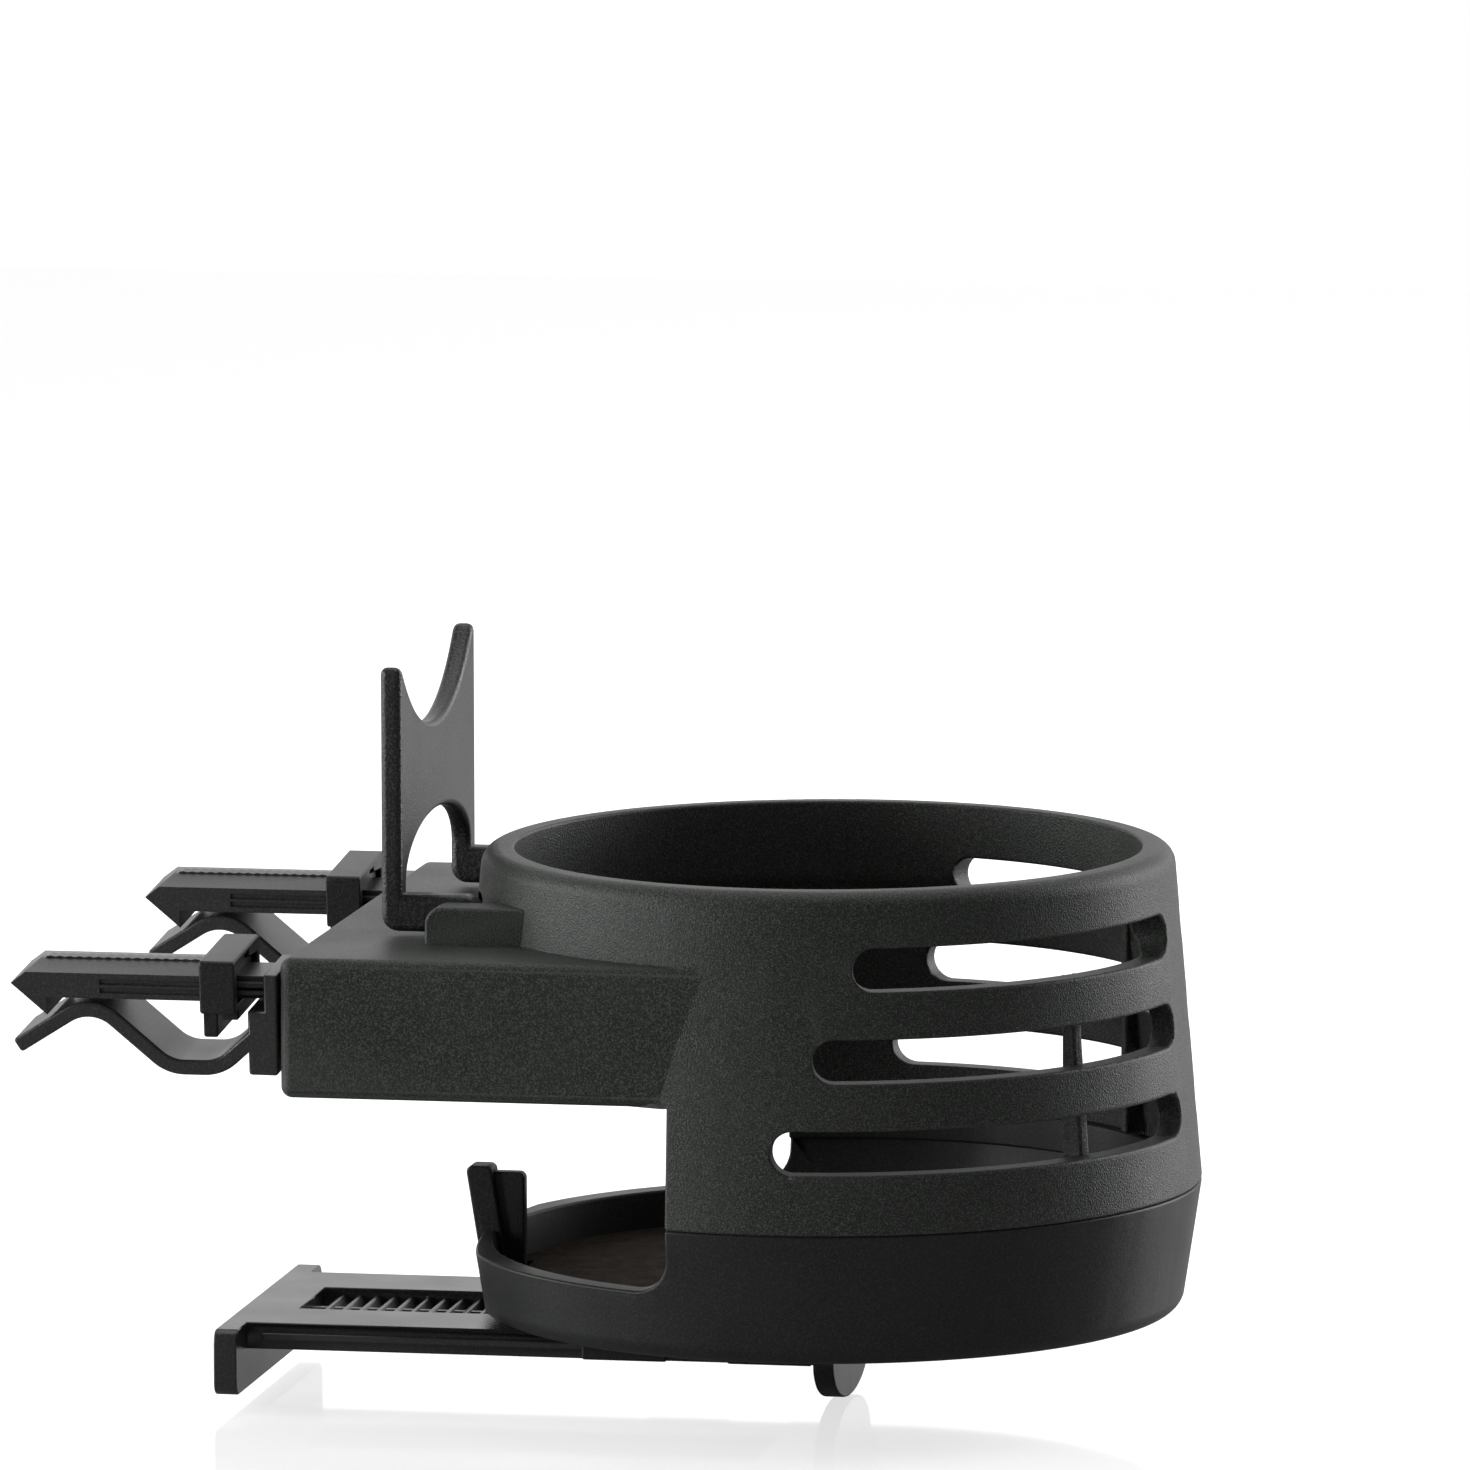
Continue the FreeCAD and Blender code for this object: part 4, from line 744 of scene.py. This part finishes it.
def place_camera():
    """Sets a camera so that the cup's opening falls where it does in the picture."""
    back = Vector((
        math.sin(AZIMUTH) * math.cos(ELEVATION),
        -math.cos(AZIMUTH) * math.cos(ELEVATION),
        math.sin(ELEVATION),
    ))
    right = Vector((math.cos(AZIMUTH), math.sin(AZIMUTH), 0))
    up = back.cross(right)
    half = FRAME_PIXELS / 2
    across = (ORIGIN_PIXEL[0] - half) / FOCAL_PIXELS * DISTANCE
    rise = (half - ORIGIN_PIXEL[1]) / FOCAL_PIXELS * DISTANCE
    place = back * DISTANCE - right * across - up * rise
    data = bpy.data.cameras.new("camera")
    data.sensor_width = SENSOR_WIDTH
    data.lens = FOCAL_PIXELS / FRAME_PIXELS * SENSOR_WIDTH
    data.clip_end = CLIP_END
    camera = bpy.data.objects.new("camera", data)
    turned = Matrix((right, up, back)).transposed() @ Matrix.Rotation(-ROLL, 3, "Z")
    camera.matrix_world = Matrix.Translation(place * MM) @ turned.to_4x4()
    bpy.context.scene.collection.objects.link(camera)
    bpy.context.scene.camera = camera
    return camera


camera = place_camera()
print("Camera at", [round(value, 3) for value in camera.matrix_world.translation])

# %% [markdown]
# ## Floor and light
#
# The holder stands on a white, faintly polished floor. Broad soft lamps stand to the
# right, to the left and overhead, as in a studio tent, and a wide one stands behind.

# %% Floor
# Sizes in metres. The floor lies just below the part, so that the two don't touch.
FLOOR_LEVEL = cad_box[0][2] - 0.0003
FLOOR_REACH = 1.35
FLOOR_GREY = (0.5, 0.5, 0.5, 1)
FLOOR_GLOW = 0.68
WHITE = (1, 1, 1, 1)


def floor_material():
    """White floor that keeps the object's shadow, and is clear when seen from below."""
    material = new_material("white_lacquered_board")
    path = add_node(material, "ShaderNodeLightPath")
    glow = add_node(
        material, "ShaderNodeMath", {1: FLOOR_GLOW}, {0: (path, "Is Camera Ray")},
        operation="MULTIPLY")
    shader = add_node(
        material, "ShaderNodeBsdfPrincipled",
        {"Base Color": FLOOR_GREY, "Roughness": 0.06, "Specular IOR Level": 0.18,
         "Emission Color": WHITE},
        {"Emission Strength": (glow, "Value")})
    side = add_node(material, "ShaderNodeNewGeometry")
    clear = add_node(material, "ShaderNodeBsdfTransparent")
    surface = add_node(
        material, "ShaderNodeMixShader", None,
        {"Fac": (side, "Backfacing"), 1: (shader, "BSDF"), 2: (clear, "BSDF")})
    add_node(material, "ShaderNodeOutputMaterial", None, {"Surface": (surface, "Shader")})
    return material


def make_floor():
    """Wide flat floor under the holder."""
    bm = bmesh.new()
    corners = [(-1, -1), (1, -1), (1, 1), (-1, 1)]
    bm.faces.new([
        bm.verts.new((x * FLOOR_REACH, y * FLOOR_REACH, FLOOR_LEVEL)) for x, y in corners
    ])
    floor = loose_object("studio_floor", bm)
    floor.data.materials.append(floor_material())
    print("Floor at", round(FLOOR_LEVEL, 4), "m")


make_floor()

# %% Surroundings and lamps
ROOM_LEVEL = 0.2
# Name, place, width and height in metres, and power in watts.
LAMPS = (
    ("right_softbox", (0.85, 0.75, 0.25), (0.6, 0.8), 10),
    ("left_softbox", (-1.0, 0.0, 0.25), (0.6, 0.7), 7),
    ("front_left_strip", (-1.08, -0.74, 0.12), (0.3, 0.6), 8.5),
    ("top_softbox", (0.0, 0.2, 1.0), (0.8, 0.8), 4),
    ("backdrop_panel", (0.0, 1.4, 0.55), (2.6, 1.1), 9),
)
LAMP_TARGET = Vector((-0.01, 0, -0.03))


def add_lamp(name, place, size, power):
    """Hangs a soft square lamp that faces the holder and that the camera does not see."""
    data = bpy.data.lights.new(name, "AREA")
    data.shape = "RECTANGLE"
    data.size, data.size_y = size
    data.energy = power
    lamp = bpy.data.objects.new(name, data)
    lamp.location = place
    aim = LAMP_TARGET - Vector(place)
    lamp.rotation_euler = aim.to_track_quat("-Z", "Y").to_euler()
    lamp.visible_camera = False
    bpy.context.scene.collection.objects.link(lamp)


def light_world():
    """Even pale surroundings that are pure white to the camera."""
    world = bpy.data.worlds.new("studio")
    world.use_nodes = True
    world.node_tree.nodes.clear()
    path = add_node(world, "ShaderNodeLightPath")
    level = add_node(
        world, "ShaderNodeMapRange", {"To Min": ROOM_LEVEL, "To Max": 1.0},
        {"Value": (path, "Is Camera Ray")})
    backdrop = add_node(
        world, "ShaderNodeBackground", {"Color": WHITE}, {"Strength": (level, "Result")})
    add_node(world, "ShaderNodeOutputWorld", None, {"Surface": (backdrop, "Background")})
    bpy.context.scene.world = world


light_world()
for name, place, size, power in LAMPS:
    add_lamp(name, place, size, power)
bpy.context.scene.view_settings.view_transform = "Standard"
print("Lamps:", len(LAMPS))
